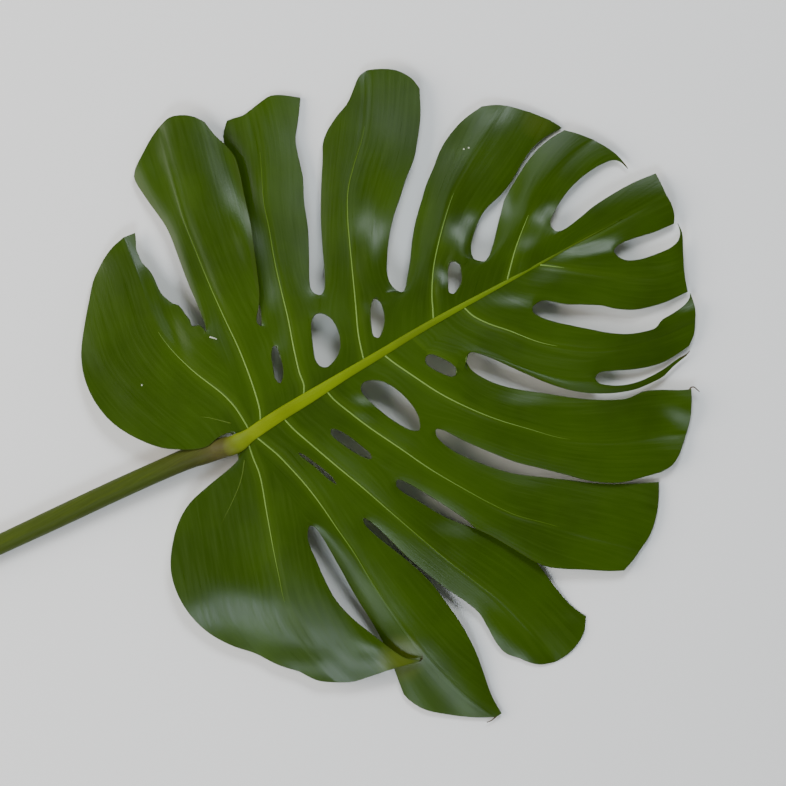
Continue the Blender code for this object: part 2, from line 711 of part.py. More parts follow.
def zip_midrib(bm, left, right):
    """Joins the two halves of the blade along the midrib with a strip of triangles."""
    i = j = 0
    while i < len(left) - 1 or j < len(right) - 1:
        step_left = j == len(right) - 1 or (i < len(left) - 1 and left[i + 1].co.x <= right[j + 1].co.x)
        if step_left:
            if left[i + 1] is not right[j]:
                bm.faces.new([right[j], left[i + 1], left[i]])
            i += 1
        else:
            if right[j + 1] is not left[i]:
                bm.faces.new([right[j], right[j + 1], left[i]])
            j += 1


def build_blade():
    """The lamina with its lobes, holes and slits, waved, and thicker under its midrib and veins."""
    bm = bmesh.new()
    depth = bm.verts.layers.float.new("depth")
    beds = {1: [], -1: []}
    known = {}
    for side, grid, rib in sheet(1):
        row = lay_patch(bm, grid, rib, side, depth, known)
        beds[side].extend(point for point in row if point not in beds[side])
    zip_midrib(bm, beds[1], beds[-1])
    bmesh.ops.triangulate(bm, faces=bm.faces[:])
    thicken(bm, depth)
    return finish(bm, "blade", BLADE_GREEN, 0.35)


def thicken(bm, depth):
    """Gives the sheet its thickness, with the same triangles on both faces.

    A lobe that would sink into the surface under the leaf rests on it.
    """
    bm.normal_update()
    above = list(bm.verts)
    normals = {point: point.normal.copy() for point in above}
    made = bmesh.ops.duplicate(bm, geom=bm.verts[:] + bm.edges[:] + bm.faces[:])
    pairs = made["vert_map"]
    below_faces = [item for item in made["geom"] if isinstance(item, bmesh.types.BMFace)]
    bmesh.ops.reverse_faces(bm, faces=below_faces)
    for point in above:
        below = pairs[point]
        below.co = point.co - normals[point] * (LAMINA + point[depth]) * MM
        sunk = min(0.0, below.co.z)
        point.co.z -= sunk
        below.co.z -= sunk
    rims = [edge for edge in bm.edges if edge.is_boundary and edge.verts[0] in normals]
    for edge in rims:
        loop = edge.link_loops[0]
        start, end = loop.vert, loop.link_loop_next.vert
        bm.faces.new([end, start, pairs[start]])
        bm.faces.new([end, pairs[start], pairs[end]])


def ring(middle, along, wide, high, sides):
    """One section of the stalk, square to its course."""
    forward = Vector(along).normalized()
    across = Vector((0, 0, 1)).cross(forward).normalized()
    up = forward.cross(across)
    points = []
    for i in range(sides):
        angle = 2 * math.pi * i / sides - math.pi / 2
        points.append(Vector(middle) + across * wide * math.cos(angle) + up * high * math.sin(angle))
    return points


def stalk_course():
    """Middle, half width and half height of the stalk from its cut end to the tip of the midrib."""
    course = [tuple(row) for row in STALK]
    for x, y, width, height in MIDRIB[1:-2]:
        thick = 0.42 * width * (0.8 if x > 8 else 1.0)
        course.append((x, y, height + STALK_GAP + thick / 2 + 0.1, width / 2, thick / 2))
    return course


def build_stalk():
    """The petiole, its joint and the midrib on top of the blade."""
    line, _ = dense(stalk_course(), steps=3)
    bm = bmesh.new()
    last = None
    for i, row in enumerate(line):
        ahead = line[min(i + 1, len(line) - 1), :3] - line[max(i - 1, 0), :3]
        loop = []
        for point in ring(row[:3], ahead, row[3], row[4], STALK_SIDES):
            point.z = max(point.z, 0.0)
            loop.append(bm.verts.new(placed(point)))
        if last is None:
            bm.faces.new(loop[::-1])
        else:
            for k in range(STALK_SIDES):
                after = (k + 1) % STALK_SIDES
                bm.faces.new([last[k], last[after], loop[after], loop[k]])
        last = loop
    bm.faces.new(last)
    bmesh.ops.triangulate(bm, faces=bm.faces[:])
    bmesh.ops.recalc_face_normals(bm, faces=bm.faces[:])
    return finish(bm, "stalk", STALK_GREEN, 0.45)


def finish(bm, name, colour, roughness):
    """Turns a mesh into a named object with its own material."""
    mesh = bpy.data.meshes.new(name)
    bm.to_mesh(mesh)
    bm.free()
    for face in mesh.polygons:
        face.use_smooth = True
    material = bpy.data.materials.new(name + "_surface")
    material.use_nodes = True
    shader = material.node_tree.nodes["Principled BSDF"]
    shader.inputs["Base Color"].default_value = colour
    shader.inputs["Roughness"].default_value = roughness
    shader.inputs["Metallic"].default_value = 0.0
    mesh.materials.append(material)
    item = bpy.data.objects.new(name, mesh)
    bpy.context.scene.collection.objects.link(item)
    return item


for old in list(bpy.data.objects):
    bpy.data.objects.remove(old, do_unlink=True)
build_blade()
build_stalk()
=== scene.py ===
"""Looks of a picked monstera leaf that lies face up on its lobe tips and its stalk.

The tables give millimetres in the leaf's own frame: x runs from the joint of stalk and blade to the tip,
y to the leaf's left and z up. Each half of the blade is a row of rays from the midrib to the margin, veins
and the seams between lobes, and patches of lamina fill the room between the rays.
"""

import logging
import math
from dataclasses import dataclass, field
from enum import IntEnum
from typing import Iterable, Sequence

import bmesh
import bpy
import numpy as np
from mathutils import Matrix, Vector, kdtree, noise
from mathutils.bvhtree import BVHTree


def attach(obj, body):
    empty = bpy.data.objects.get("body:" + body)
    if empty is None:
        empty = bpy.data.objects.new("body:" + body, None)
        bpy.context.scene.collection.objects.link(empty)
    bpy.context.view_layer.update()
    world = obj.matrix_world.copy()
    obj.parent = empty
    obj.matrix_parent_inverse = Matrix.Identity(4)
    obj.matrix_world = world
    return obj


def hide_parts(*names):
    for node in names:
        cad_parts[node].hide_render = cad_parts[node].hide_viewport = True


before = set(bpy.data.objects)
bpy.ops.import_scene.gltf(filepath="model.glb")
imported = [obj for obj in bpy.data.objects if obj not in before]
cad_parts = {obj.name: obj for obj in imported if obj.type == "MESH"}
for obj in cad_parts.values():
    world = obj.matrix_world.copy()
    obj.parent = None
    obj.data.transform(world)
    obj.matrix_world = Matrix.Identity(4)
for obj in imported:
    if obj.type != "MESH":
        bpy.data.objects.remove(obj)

LOG = logging.getLogger("leaf")
MM = 0.001
BODY = "root"
# the place in the leaf's frame that lies over the model's origin
BASE_AT = (21.0, -17.8)
# cells of a patch from the midrib to the margin, counted out in groups, and from ray to ray
ROWS = 72
GROUP = 4
COLUMNS = 16
# above every point of the leaf and below it, where rays are cast from
OVER, BENEATH = 90, -1

Plan = tuple[float, float]
Rows = tuple[tuple[float, ...], ...]
Socket = bpy.types.NodeSocket
Material = bpy.types.Material


class Half(IntEnum):
    """A half of the blade, as the sign of its y."""

    LEFT = 1
    RIGHT = -1


class Face(IntEnum):
    """The blade's material slots."""

    UPPER = 0
    UNDER = 1
    RIM = 2


# x, y of the midrib's middle, its width and the height of the lamina there
MIDRIB = (
    (-6, -2.0, 12.4, 20.8),
    (5, -1.3, 9.4, 21.2),
    (15, -0.5, 9.2, 21.5),
    (30, 0.3, 8.8, 21.8),
    (50, 0.7, 8.2, 21.8),
    (75, 1.5, 6.4, 21.2),
    (100, 1.9, 5.6, 20.2),
    (125, 2.5, 4.9, 18.9),
    (150, 2.4, 4.2, 17.4),
    (190, 1.4, 2.6, 14.6),
    (215, 0.9, 1.8, 12.8),
    (240, 0.4, 1.2, 11.0),
    (272, -0.6, 0.6, 9.2),
    (304, -1.0, 0.4, 8.0),
)

# x, y, z of the middle of the stalk, half its width and half its height
STALK = (
    (-262, 27.4, 6.05, 6.2, 6.5),
    (-236, 24.9, 6.05, 6.2, 6.5),
    (-210, 22.4, 6.05, 6.2, 6.5),
    (-190, 20.4, 6.2, 6.2, 6.5),
    (-160, 17.4, 6.9, 6.2, 6.5),
    (-120, 13.9, 8.2, 6.5, 6.6),
    (-80, 10.4, 9.5, 6.5, 6.6),
    (-50, 7.3, 10.5, 6.5, 6.6),
    (-34, 5.3, 11.2, 6.8, 6.8),
    (-25, 3.6, 12.0, 7.2, 6.8),
    (-18, 1.9, 13.8, 6.9, 6.4),
    (-12, 0.1, 17.6, 6.3, 5.6),
    (-7, -1.4, 21.3, 6.0, 4.3),
    (-1.5, -1.7, 21.8, 5.6, 2.5),
)


@dataclass
class Vein:
    """A side vein: its root along the midrib, points to the margin, its bow and its end height."""

    root: float
    points: list[Plan]
    lift: float
    end: float


@dataclass
class Seam:
    """The line between two lobes, joined from the root to the slit, with the slit's two edges.

    A hole is its near point, its edge on each side and its far point. The rises are those of the slit's
    outer corners over the ends of their veins.
    """

    root: float
    join: list[Plan]
    slit: Plan
    before: list[Plan]
    after: list[Plan]
    rise: tuple[float, float]
    hole: tuple | None = None
    between: float | None = None


@dataclass
class Margin:
    """A free edge that starts at the notch, with its rise at the end and half way, over its vein."""

    root: Plan
    points: list[Plan]
    rise: float
    bulge: float


LEFT = (
    Margin(
        (-2.1, 5.4),
        [(-7.1, 7.1), (-14.3, 7.1), (-20, 5.9), (-27.1, 7.7), (-37.1, 13.2), (-44.3, 18.2), (-50, 23.9),
         (-59.3, 37.1), (-65, 50), (-67.3, 65.7), (-65.4, 81.4), (-60, 94.6), (-50, 108.2), (-40, 120),
         (-30.7, 130.4), (-25, 134.6)],
        -1.0, -3.0,
    ),
    [(-18.6, 138.6), (-10, 142.3)],
    Vein(
        6.8,
        [(6.8, 10), (6.1, 19.3), (3.6, 29.3), (-5, 50.7), (-10.4, 70.7), (-11.6, 88), (-8, 106), (-4, 124),
         (-1, 144.1)],
        3.0, 9.0,
    ),
    [],
    Seam(
        11.2, [(12, 25), (13, 48)], (13.9, 67.5),
        [(13.4, 70.7), (12.1, 73.4), (8.2, 75), (8.7, 79.3), (8.2, 83.6), (7.9, 87.9), (7.1, 90.7),
         (4.6, 93.6), (3.2, 97.1), (1.8, 101.4), (1.8, 106.4), (2.3, 110.7), (2.6, 115), (2.1, 120),
         (0.9, 124.3), (1.3, 130), (2.1, 134.6), (4.3, 138.6), (6.3, 143)],
        [(15.7, 71.4), (17.4, 81.4), (19.5, 100), (21.8, 114.3), (24.4, 130), (24.9, 138.6), (23.2, 156.4),
         (22.5, 170), (23.2, 173.9)],
        (-1.0, -1.0),
    ),
    [(26.4, 177.5), (35, 183.2), (45, 189.3)],
    Vein(
        15.7,
        [(18.2, 7.9), (20.4, 15), (23.7, 30.7), (26.4, 48.6), (28.2, 70), (30.6, 92.9), (33.6, 114.3),
         (36.4, 133.6), (40.7, 151.4), (46, 172), (52, 192.5)],
        3.6, 7.0,
    ),
    [(60, 194.4), (66.5, 192.5), (73.6, 187.5)],
    Seam(
        33, [], (45.4, 53.6),
        [(44.1, 56.4), (45.7, 60), (50.1, 65.1), (54.3, 71.4), (57.9, 79.3), (65, 96.4), (71.1, 111.4),
         (75.7, 126.4), (81.4, 143.6), (83.4, 153.6), (81.8, 162.9), (79.4, 171), (78, 181)],
        [(47, 55.7), (48.6, 59.3), (50, 62.5), (52.2, 69), (55.5, 78), (62.3, 96), (68.4, 111.4),
         (73, 126.4), (78.6, 143.6), (80.8, 154), (82.6, 164.5), (85, 169.5), (90.5, 175)],
        (3.5, -1.5),
        hole=((37.9, 16.9), [(36.4, 20), (39.9, 30.7), (42.1, 35.7)], [(42.9, 21.4), (45.6, 27.9),
         (47.1, 34.3), (47.7, 37.9)], (46.1, 39.4)),
    ),
    [(94.3, 174.4), (100.7, 173)],
    Vein(
        47.1,
        [(50, 8.6), (51.4, 16.4), (56.1, 32.1), (62.1, 49.3), (67.1, 66.4), (72.9, 85), (80, 104.3),
         (85, 119.3), (90, 130), (98.6, 147.9), (108, 173.7)],
        2.4, 2.2,
    ),
    [(115, 174.6), (121, 175), (126.4, 172.7)],
    Seam(
        63, [], (86.8, 52),
        [(83.9, 55), (83.4, 58.6), (85.4, 63.6), (92.9, 77.1), (100.7, 92.1), (107.1, 108), (113.6, 120.7),
         (117.5, 132.9), (121.4, 143.6), (128.6, 152.9), (137.1, 164.6)],
        [(90, 53.2), (95, 60.7), (102.1, 75.7), (110.7, 93), (122.1, 112.1), (130, 124.3), (135.7, 133.6),
         (142.1, 138.9)],
        (1.2, 2.0),
        hole=((67.9, 11.1), [(64.6, 13.6), (63.7, 17.9), (65.7, 24.3), (71.4, 37.1), (74.3, 41.4)],
         [(72.1, 11.8), (77.1, 13.9), (81.4, 17.9), (84.6, 24.3), (85.7, 30.7), (85.4, 35.7), (82.9, 40.7)],
         (78.9, 43.2)),
    ),
    [(151.4, 143.4), (160.7, 146.8), (167.9, 152.1), (175.7, 157.9)],
    Vein(
        90,
        [(91.8, 10), (95, 19.3), (102.9, 36.4), (111.4, 55), (118, 69.5), (125.7, 85.7), (134.3, 100),
         (145, 111.4), (159.3, 125), (171, 141), (181.5, 158.6)],
        3.0, 5.0,
    ),
    [(187.9, 155.7), (197.1, 149.3), (202.9, 140)],
    Seam(
        103, [], (131.8, 28.2),
        [(128.9, 31.4), (127.7, 36.4), (128.6, 41.4), (131.4, 47.1), (140, 60), (149.3, 70.7),
         (159.3, 79.6), (169.3, 88.6), (178.9, 96.2), (187.1, 105.7), (195.7, 117.1), (204, 132.5)],
        [(135, 30), (138.6, 34.3), (145.7, 42.9), (152.9, 52.9), (160.7, 62.1), (169.3, 70.4),
         (177.9, 78.6), (187.1, 85.4), (196.4, 92.9), (206, 98), (218, 101.9), (232, 103.4)],
        (3.0, 1.0),
        hole=((104.6, 10.9), [(102.3, 13.6), (103.9, 18.6), (106.8, 25), (110.4, 30.7), (115, 34)],
         [(107.9, 12.5), (111.4, 15.7), (114.6, 20.7), (116.2, 25.5)], (116.7, 30)),
    ),
    [(240, 99.9)],
    Vein(
        140,
        [(142.9, 10), (146.4, 17.1), (155.7, 31.4), (167.1, 44.3), (179.3, 56.4), (189.3, 65), (203, 73.5),
         (217, 81), (232, 88.5), (246, 95.8)],
        2.4, 5.0,
    ),
    [(255, 86.6), (260, 80.5), (265, 73.8)],
    Seam(
        156, [], (184.3, 19.6),
        [(180.7, 22.5), (180.4, 26.4), (182.5, 31.4), (191.4, 40.4), (201.4, 46.8), (215, 50.2),
         (225, 54.3), (235, 60), (245, 64.9), (255, 67.2), (268.4, 67.2)],
        [(187.9, 20), (195, 25.7), (205, 36), (210, 41), (215, 46), (220, 49.2), (230, 54.8), (240, 59.8),
         (250, 63.3), (260, 64.9), (269, 65)],
        (-2.5, 1.0),
        hole=((158.2, 11.3), [(156.3, 14.3), (157.9, 17.1), (160, 21.4), (163.6, 27.1), (167.1, 30),
         (170, 28.2)], [(164.3, 13.6), (167.5, 16.4), (169.6, 21)], (171, 24.5)),
    ),
    [(275, 59)],
    Vein(
        191.8,
        [(195.7, 6.4), (205.7, 16.4), (215, 24.2), (226, 32.5), (240, 41), (255, 47), (270, 50.3),
         (281.5, 51)],
        1.8, 6.0,
    ),
    [(286, 43.3), (289.3, 36), (290.8, 29.5)],
    Seam(
        224, [], (234.5, 12.3),
        [(232.6, 14), (231.8, 16.8), (232.6, 20), (240, 25.6), (250, 30.6), (260, 33.7), (270, 35.2),
         (280, 35.2), (286.5, 33.7), (289.6, 30.5), (291.2, 24.8)],
        [(238, 11.6), (250, 13), (260, 14.8), (270, 15.5), (280, 15.7), (290, 15.4), (304.6, 13.5)],
        (-1.5, 0.5),
    ),
    [(304.3, 7)],
)

RIGHT = (
    Margin(
        (-5.7, -9.6),
        [(-10, -11.8), (-16.4, -13.2), (-34.3, -16.1), (-47.9, -19.3), (-59.3, -25.7), (-70, -36.1),
         (-78.6, -48.9), (-82.5, -62.9), (-82.5, -78.6), (-78.2, -94.3), (-69.6, -108.6), (-59.5, -120),
         (-51, -133), (-41.4, -143.6)],
        0.0, -6.0,
    ),
    [(-34.3, -154)],
    Vein(
        2.1,
        [(0.4, -14.3), (-1.4, -25.7), (-9.3, -47.9), (-17.5, -70.7), (-22.5, -85.7), (-27.9, -102.9),
         (-29.3, -121.4), (-28.2, -142), (-24, -161.5)],
        3.0, 9.0,
    ),
    [(-15.7, -165.7), (-5, -168), (9.3, -170.9), (20.7, -174)],
    Seam(
        5.4, [(7.5, -35)], (9.6, -68.4),
        [(6.4, -71.4), (3.9, -76.4), (2.1, -90), (0.4, -107), (0.6, -118), (3.6, -131), (7.5, -141.4),
         (11.4, -151), (15, -160), (20, -169.3), (27.5, -175.2)],
        [(11.8, -70.7), (12.7, -77), (12.6, -100), (12.3, -120), (12.9, -143), (12.4, -158), (10.4, -171.4),
         (8.9, -180), (7.5, -188.5)],
        (4.0, -1.0),
    ),
    [(8.6, -193), (13.6, -202.5), (25.7, -213.4), (38.6, -222.9)],
    Vein(
        8.6,
        [(11, -11), (14.3, -20), (17.3, -32), (20, -45), (22, -60), (23.4, -78.6), (24.9, -95.7),
         (25.4, -117), (26.5, -137), (29, -160), (34, -187), (41, -210), (50, -229.2)],
        2.4, 3.0,
    ),
    [],
    Seam(
        20, [(22.8, -15)], (41, -81),
        [(39.5, -83.6), (40, -87.9), (43.6, -98.6), (50.4, -115.7), (54.3, -127), (57.1, -137.9),
         (58.6, -150.7), (59.9, -164.3), (60.2, -173), (59.4, -187.9), (57.1, -201.4), (54.6, -214),
         (54, -222), (54.2, -229)],
        [(42.5, -82.9), (45.7, -91.4), (48.9, -103), (52.1, -115), (56.4, -127.1), (63.6, -145),
         (70.7, -160), (73.5, -168.5), (73.6, -178.6), (73.4, -190), (75.3, -198.2), (81, -205)],
        (0.0, 1.0),
        hole=((26, -25.7), [(26.4, -28.6), (30.5, -38.6), (34.3, -50)], [(27.5, -26.8), (31.4, -34.3),
         (35.4, -44.3), (37.2, -51)], (36.9, -54.6)),
    ),
    [(83.9, -209), (90, -214.6)],
    Vein(
        29,
        [(30.7, -11), (35, -23.6), (42.1, -43.6), (49.6, -63.9), (56.8, -85), (63.6, -104.6), (72.1, -128),
         (80.4, -148.6), (87.5, -166), (94, -190), (99, -218)],
        2.4, 1.0,
    ),
    [(107, -217.9), (115.7, -215.7), (124, -210.8)],
    Seam(
        45, [(48.5, -14)], (70.7, -70.9),
        [(68.4, -73.6), (69.3, -77.9), (75, -88.2), (83.6, -104), (91.8, -115), (97, -121), (103.5, -128),
         (109, -136), (114.5, -146), (119.2, -156), (120.8, -165), (122, -177), (124, -188.5),
         (126.4, -196.4), (129.7, -203)],
        [(72.5, -71.9), (77.5, -79.3), (85.7, -94.3), (91.2, -105), (95.9, -115), (97.5, -120.5),
         (102, -127.3), (107, -135.3), (112.3, -145), (118.6, -156.4), (123.2, -162.9), (130, -168.6),
         (145, -178.2), (156.4, -185.7), (164.5, -190)],
        (-0.5, 3.0),
        hole=((51.4, -23.2), [(49.1, -25.7), (50, -29.3), (54.6, -40), (60, -48.9)], [(53.2, -24.3),
         (57.9, -31.4), (62.1, -41.4), (64.5, -49)], (63.4, -51.8)),
    ),
    [(173.6, -186.8)],
    Vein(
        60.5,
        [(61.6, -8), (66.4, -20.7), (72.1, -34.3), (82.1, -55), (91.4, -74.6), (101.8, -93.2),
         (113.2, -112.1), (123.6, -126.8), (136, -139.3), (148, -151.5), (164, -167), (180, -183.8)],
        2.4, 4.0,
    ),
    [(188.6, -179.6), (197.1, -172.5), (203.9, -164.3)],
    Seam(
        78, [], (107.3, -55.8),
        [(105.4, -58.6), (105.7, -62.9), (110, -73.2), (121.4, -89), (135, -103.6), (148.6, -114),
         (163.6, -125), (172.1, -131.6), (184, -139.6), (195, -145.6), (210.6, -153.5)],
        [(110, -57.5), (118.6, -70.4), (128.6, -84), (140, -98.2), (150, -107.9), (162.9, -120.4),
         (173.6, -131), (182, -137.2), (191, -142.2), (202, -145.3), (215, -148.7)],
        (-1.0, 2.0),
        hole=((82.5, -8.2), [(79.3, -10.7), (78.7, -14.3), (81.4, -24.3), (86.1, -36.4), (92.1, -47),
         (95.2, -50.2)], [(86.6, -8.9), (90.7, -11.1), (94.3, -14.6), (99.6, -25), (102.2, -37.9),
         (101.6, -44.5)], (98.2, -51.1)),
    ),
    [(222.1, -148.6), (229.3, -145.4), (236.4, -139.3)],
    Vein(
        102.5,
        [(104.5, -5.5), (111.4, -20), (120, -37.1), (130.7, -53.6), (142.9, -69.3), (157.9, -85.2),
         (172, -99.6), (185, -108.5), (200, -117), (220, -126), (241, -135.3)],
        2.4, 5.0,
    ),
    [(247, -129), (252.5, -121)],
    Seam(
        121, [], (147.9, -25.4),
        [(144.8, -28.3), (144.2, -32), (145, -36.4), (151, -46.9), (159.5, -56.3), (168.6, -64.1),
         (178.6, -71.8), (188.6, -80), (198.6, -87.3), (210, -94.2), (220, -98.9), (230, -99.9),
         (240, -104.4), (250, -110.4), (256.8, -113.5)],
        [(150.4, -25.8), (153.6, -28.6), (160, -36.4), (167.1, -46.4), (174.3, -56.4), (181.4, -65.7),
         (190, -75.2), (198.6, -82.5), (207.5, -88.2), (217, -92.9), (227, -96.3), (237, -97.6),
         (246, -97.9), (253.6, -95.8), (265, -93.9)],
        (1.5, 0.0),
        hole=((124.8, -13.4), [(122, -16.8), (124.3, -22.8), (127.5, -27.7), (130.4, -31.4), (133, -33.4),
         (136, -32)], [(127.5, -13.8), (130.4, -16.6), (133.6, -21.2), (135.8, -25)], (136.9, -28.5)),
    ),
    [],
    Seam(
        142, [(152, -19), (164, -36), (178, -54), (193, -69)], (208.3, -80),
        [(209, -81.8), (211, -84), (220, -89.8), (230, -93.1), (240, -94.2), (250, -94.2), (257.5, -93.3),
         (265, -93.1)],
        [(208.8, -77.8), (212, -76), (220, -79), (230, -84), (240, -87.9), (250, -90.2), (260, -90.3),
         (269, -89.6)],
        (0.0, 0.0), between=0.35,
    ),
    [(275.7, -84.4)],
    Vein(
        160,
        [(162.1, -6.2), (168.6, -16), (176.4, -24.8), (189.3, -40.7), (202, -52), (216, -62), (235, -70.5),
         (256, -76.5), (279.5, -79)],
        1.8, 5.0,
    ),
    [(283.8, -71.5)],
    Seam(
        188, [(191.5, -10)], (196.6, -20.5),
        [(195.5, -22.8), (197.1, -26.8), (202, -32.9), (210, -40.4), (220, -49.3), (230, -57.9),
         (240, -64.5), (250, -68.4), (257, -69.7), (262.3, -67.4), (270, -67.2), (280, -66.1), (284.5, -64),
         (286.2, -61.8)],
        [(198.6, -19.6), (202.9, -19.3), (207.1, -21.4), (215, -28.3), (225, -34.5), (235, -41),
         (240, -45.8), (250, -52.6), (260, -56.3), (270, -58.6), (285.2, -60)],
        (2.0, -0.5),
    ),
    [(287.5, -53)],
    Vein(214, [(221, -5), (232, -13.5), (246, -24.5), (262, -36.5), (276, -44), (290, -47)], 1.2, 6.5),
    [(295, -37), (300.4, -26.5)],
    Seam(
        230, [(243, -9)], (257.8, -16.4),
        [(258.6, -20), (262, -24.4), (270, -28.1), (280, -30.2), (290, -31.2), (296.4, -29.5), (300, -25.5),
         (301.1, -20.3)],
        [(258.2, -14.9), (260.5, -13.7), (265, -13.3), (275, -15), (285, -17.4), (298.8, -19.1)],
        (0.5, -0.5),
    ),
    [(301.5, -15), (303.4, -8)],
)


def eased(k: float, width: float, values: Sequence, slopes: Sequence) -> float | np.ndarray:
    """A smooth curve at a fraction k of a stretch, from the values and the slopes at its two ends."""
    return (
        (2 * k**3 - 3 * k**2 + 1) * values[0]
        + (k**3 - 2 * k**2 + k) * width * slopes[0]
        + (3 * k**2 - 2 * k**3) * values[1]
        + (k**3 - k**2) * width * slopes[1]
    )


def curve_value(places: np.ndarray, values: np.ndarray, x: float) -> float:
    """Reads a smooth curve through values.

    Args:
        places: Where the values stand, rising.
        values: The values.
        x: Where the curve is read.

    Returns:
        The curve's value at x.
    """
    x = min(max(x, places[0]), places[-1])
    i = min(int(np.searchsorted(places, x, side="right")) - 1, len(places) - 2)
    steps = np.diff(values) / np.diff(places)
    slopes = np.concatenate([[steps[0]], (steps[1:] + steps[:-1]) / 2, [steps[-1]]])
    width = places[i + 1] - places[i]
    return float(eased((x - places[i]) / width, width, values[i : i + 2], slopes[i : i + 2]))


def at(table: Rows, x: float, column: int) -> float:
    """One column of a table at a place along the leaf, eased through its rows."""
    rows = np.array(table, float)
    return curve_value(rows[:, 0], rows[:, column], x)


def dense(points: Sequence, closed: bool = False, steps: int = 12) -> tuple[np.ndarray, np.ndarray]:
    """Runs a curve through points.

    Args:
        points: The points, of two or more numbers each.
        closed: Whether the last point runs on to the first.
        steps: Short steps from one point to the next.

    Returns:
        The curve as many short steps, and where each point stands in it.
    """
    points = np.array(points, float)
    if closed:
        points = np.vstack([points[-1], points, points[0], points[1]])
    knots = np.concatenate([[0], np.cumsum(np.linalg.norm(np.diff(points, axis=0), axis=1) ** 0.5)])
    chords = np.diff(points, axis=0) / np.diff(knots)[:, None]
    slopes = np.empty_like(points)
    slopes[0], slopes[-1] = chords[0], chords[-1]
    before, after = np.diff(knots)[:-1, None], np.diff(knots)[1:, None]
    slopes[1:-1] = (chords[:-1] * after + chords[1:] * before) / (before + after)
    first, last = (1, len(points) - 2) if closed else (0, len(points) - 1)
    line = []
    for i in range(first, last):
        width = knots[i + 1] - knots[i]
        for k in np.arange(steps) / steps:
            line.append(eased(k, width, points[i : i + 2], slopes[i : i + 2]))
    line.append(points[last])
    return np.array(line), np.arange(last - first + 1) * steps


def sample(line: np.ndarray, fractions: np.ndarray) -> np.ndarray:
    """Points of a line of short steps at fractions of its length."""
    lengths = np.concatenate([[0], np.cumsum(np.linalg.norm(np.diff(line, axis=0), axis=1))])
    wanted = np.asarray(fractions) * lengths[-1]
    return np.column_stack([np.interp(wanted, lengths, line[:, i]) for i in range(line.shape[1])])


def length(line: np.ndarray) -> float:
    """The length of a line of short steps."""
    return float(np.linalg.norm(np.diff(line, axis=0), axis=1).sum())


def placed(point: Sequence[float]) -> Vector:
    """A point of the tables in metres, in the model's frame."""
    return Vector(((point[0] - BASE_AT[0]) * MM, (point[1] - BASE_AT[1]) * MM, point[2] * MM))


def rgb(red: int, green: int, blue: int) -> tuple[float, float, float, float]:
    """A screen colour of 0 to 255 as the linear colour that the shaders take."""
    parts = [value / 255 for value in (red, green, blue)]
    return (*[p / 12.92 if p <= 0.04045 else ((p + 0.055) / 1.055) ** 2.4 for p in parts], 1.0)


def sweep(bm: bmesh.types.BMesh, rings: Sequence[Sequence[Vector]]) -> list[list[bmesh.types.BMVert]]:
    """Extrudes a circle of edges through rings of points and closes both ends.

    Args:
        bm: The mesh that takes the tube.
        rings: The sections, each with the same number of points.

    Returns:
        The tube's points, section by section.
    """
    made = bmesh.ops.create_circle(bm, cap_ends=False, radius=1.0, segments=len(rings[0]))
    loop = made["verts"]
    edges = list({edge for vert in loop for edge in vert.link_edges})
    for vert, spot in zip(loop, rings[0]):
        vert.co = spot
    first, loops = edges, [loop]
    for ring in rings[1:]:
        grown = bmesh.ops.extrude_edge_only(bm, edges=edges)["geom"]
        fresh = {item for item in grown if isinstance(item, bmesh.types.BMVert)}
        after = []
        for vert, spot in zip(loop, ring):
            twin = next(e.other_vert(vert) for e in vert.link_edges if e.other_vert(vert) in fresh)
            twin.co = spot
            after.append(twin)
        edges = [e for e in grown if isinstance(e, bmesh.types.BMEdge) and {*e.verts} <= fresh]
        loop = after
        loops.append(loop)
    bmesh.ops.holes_fill(bm, edges=first + edges, sides=0)
    bmesh.ops.recalc_face_normals(bm, faces=bm.faces[:])
    return loops


def piece_of(bm: bmesh.types.BMesh, name: str, materials: Iterable[Material]) -> bpy.types.Object:
    """Turns a mesh into a smooth piece that rides on the leaf.

    Args:
        bm: The mesh, in place; it is freed.
        name: The piece's name.
        materials: Its materials, in slot order.

    Returns:
        The piece.
    """
    mesh = bpy.data.meshes.new(name)
    bm.to_mesh(mesh)
    bm.free()
    mesh.shade_smooth()
    for material in materials:
        mesh.materials.append(material)
    piece = bpy.data.objects.new(name, mesh)
    bpy.context.scene.collection.objects.link(piece)
    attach(piece, BODY)
    LOG.info("%s: %d faces", name, len(mesh.polygons))
    return piece


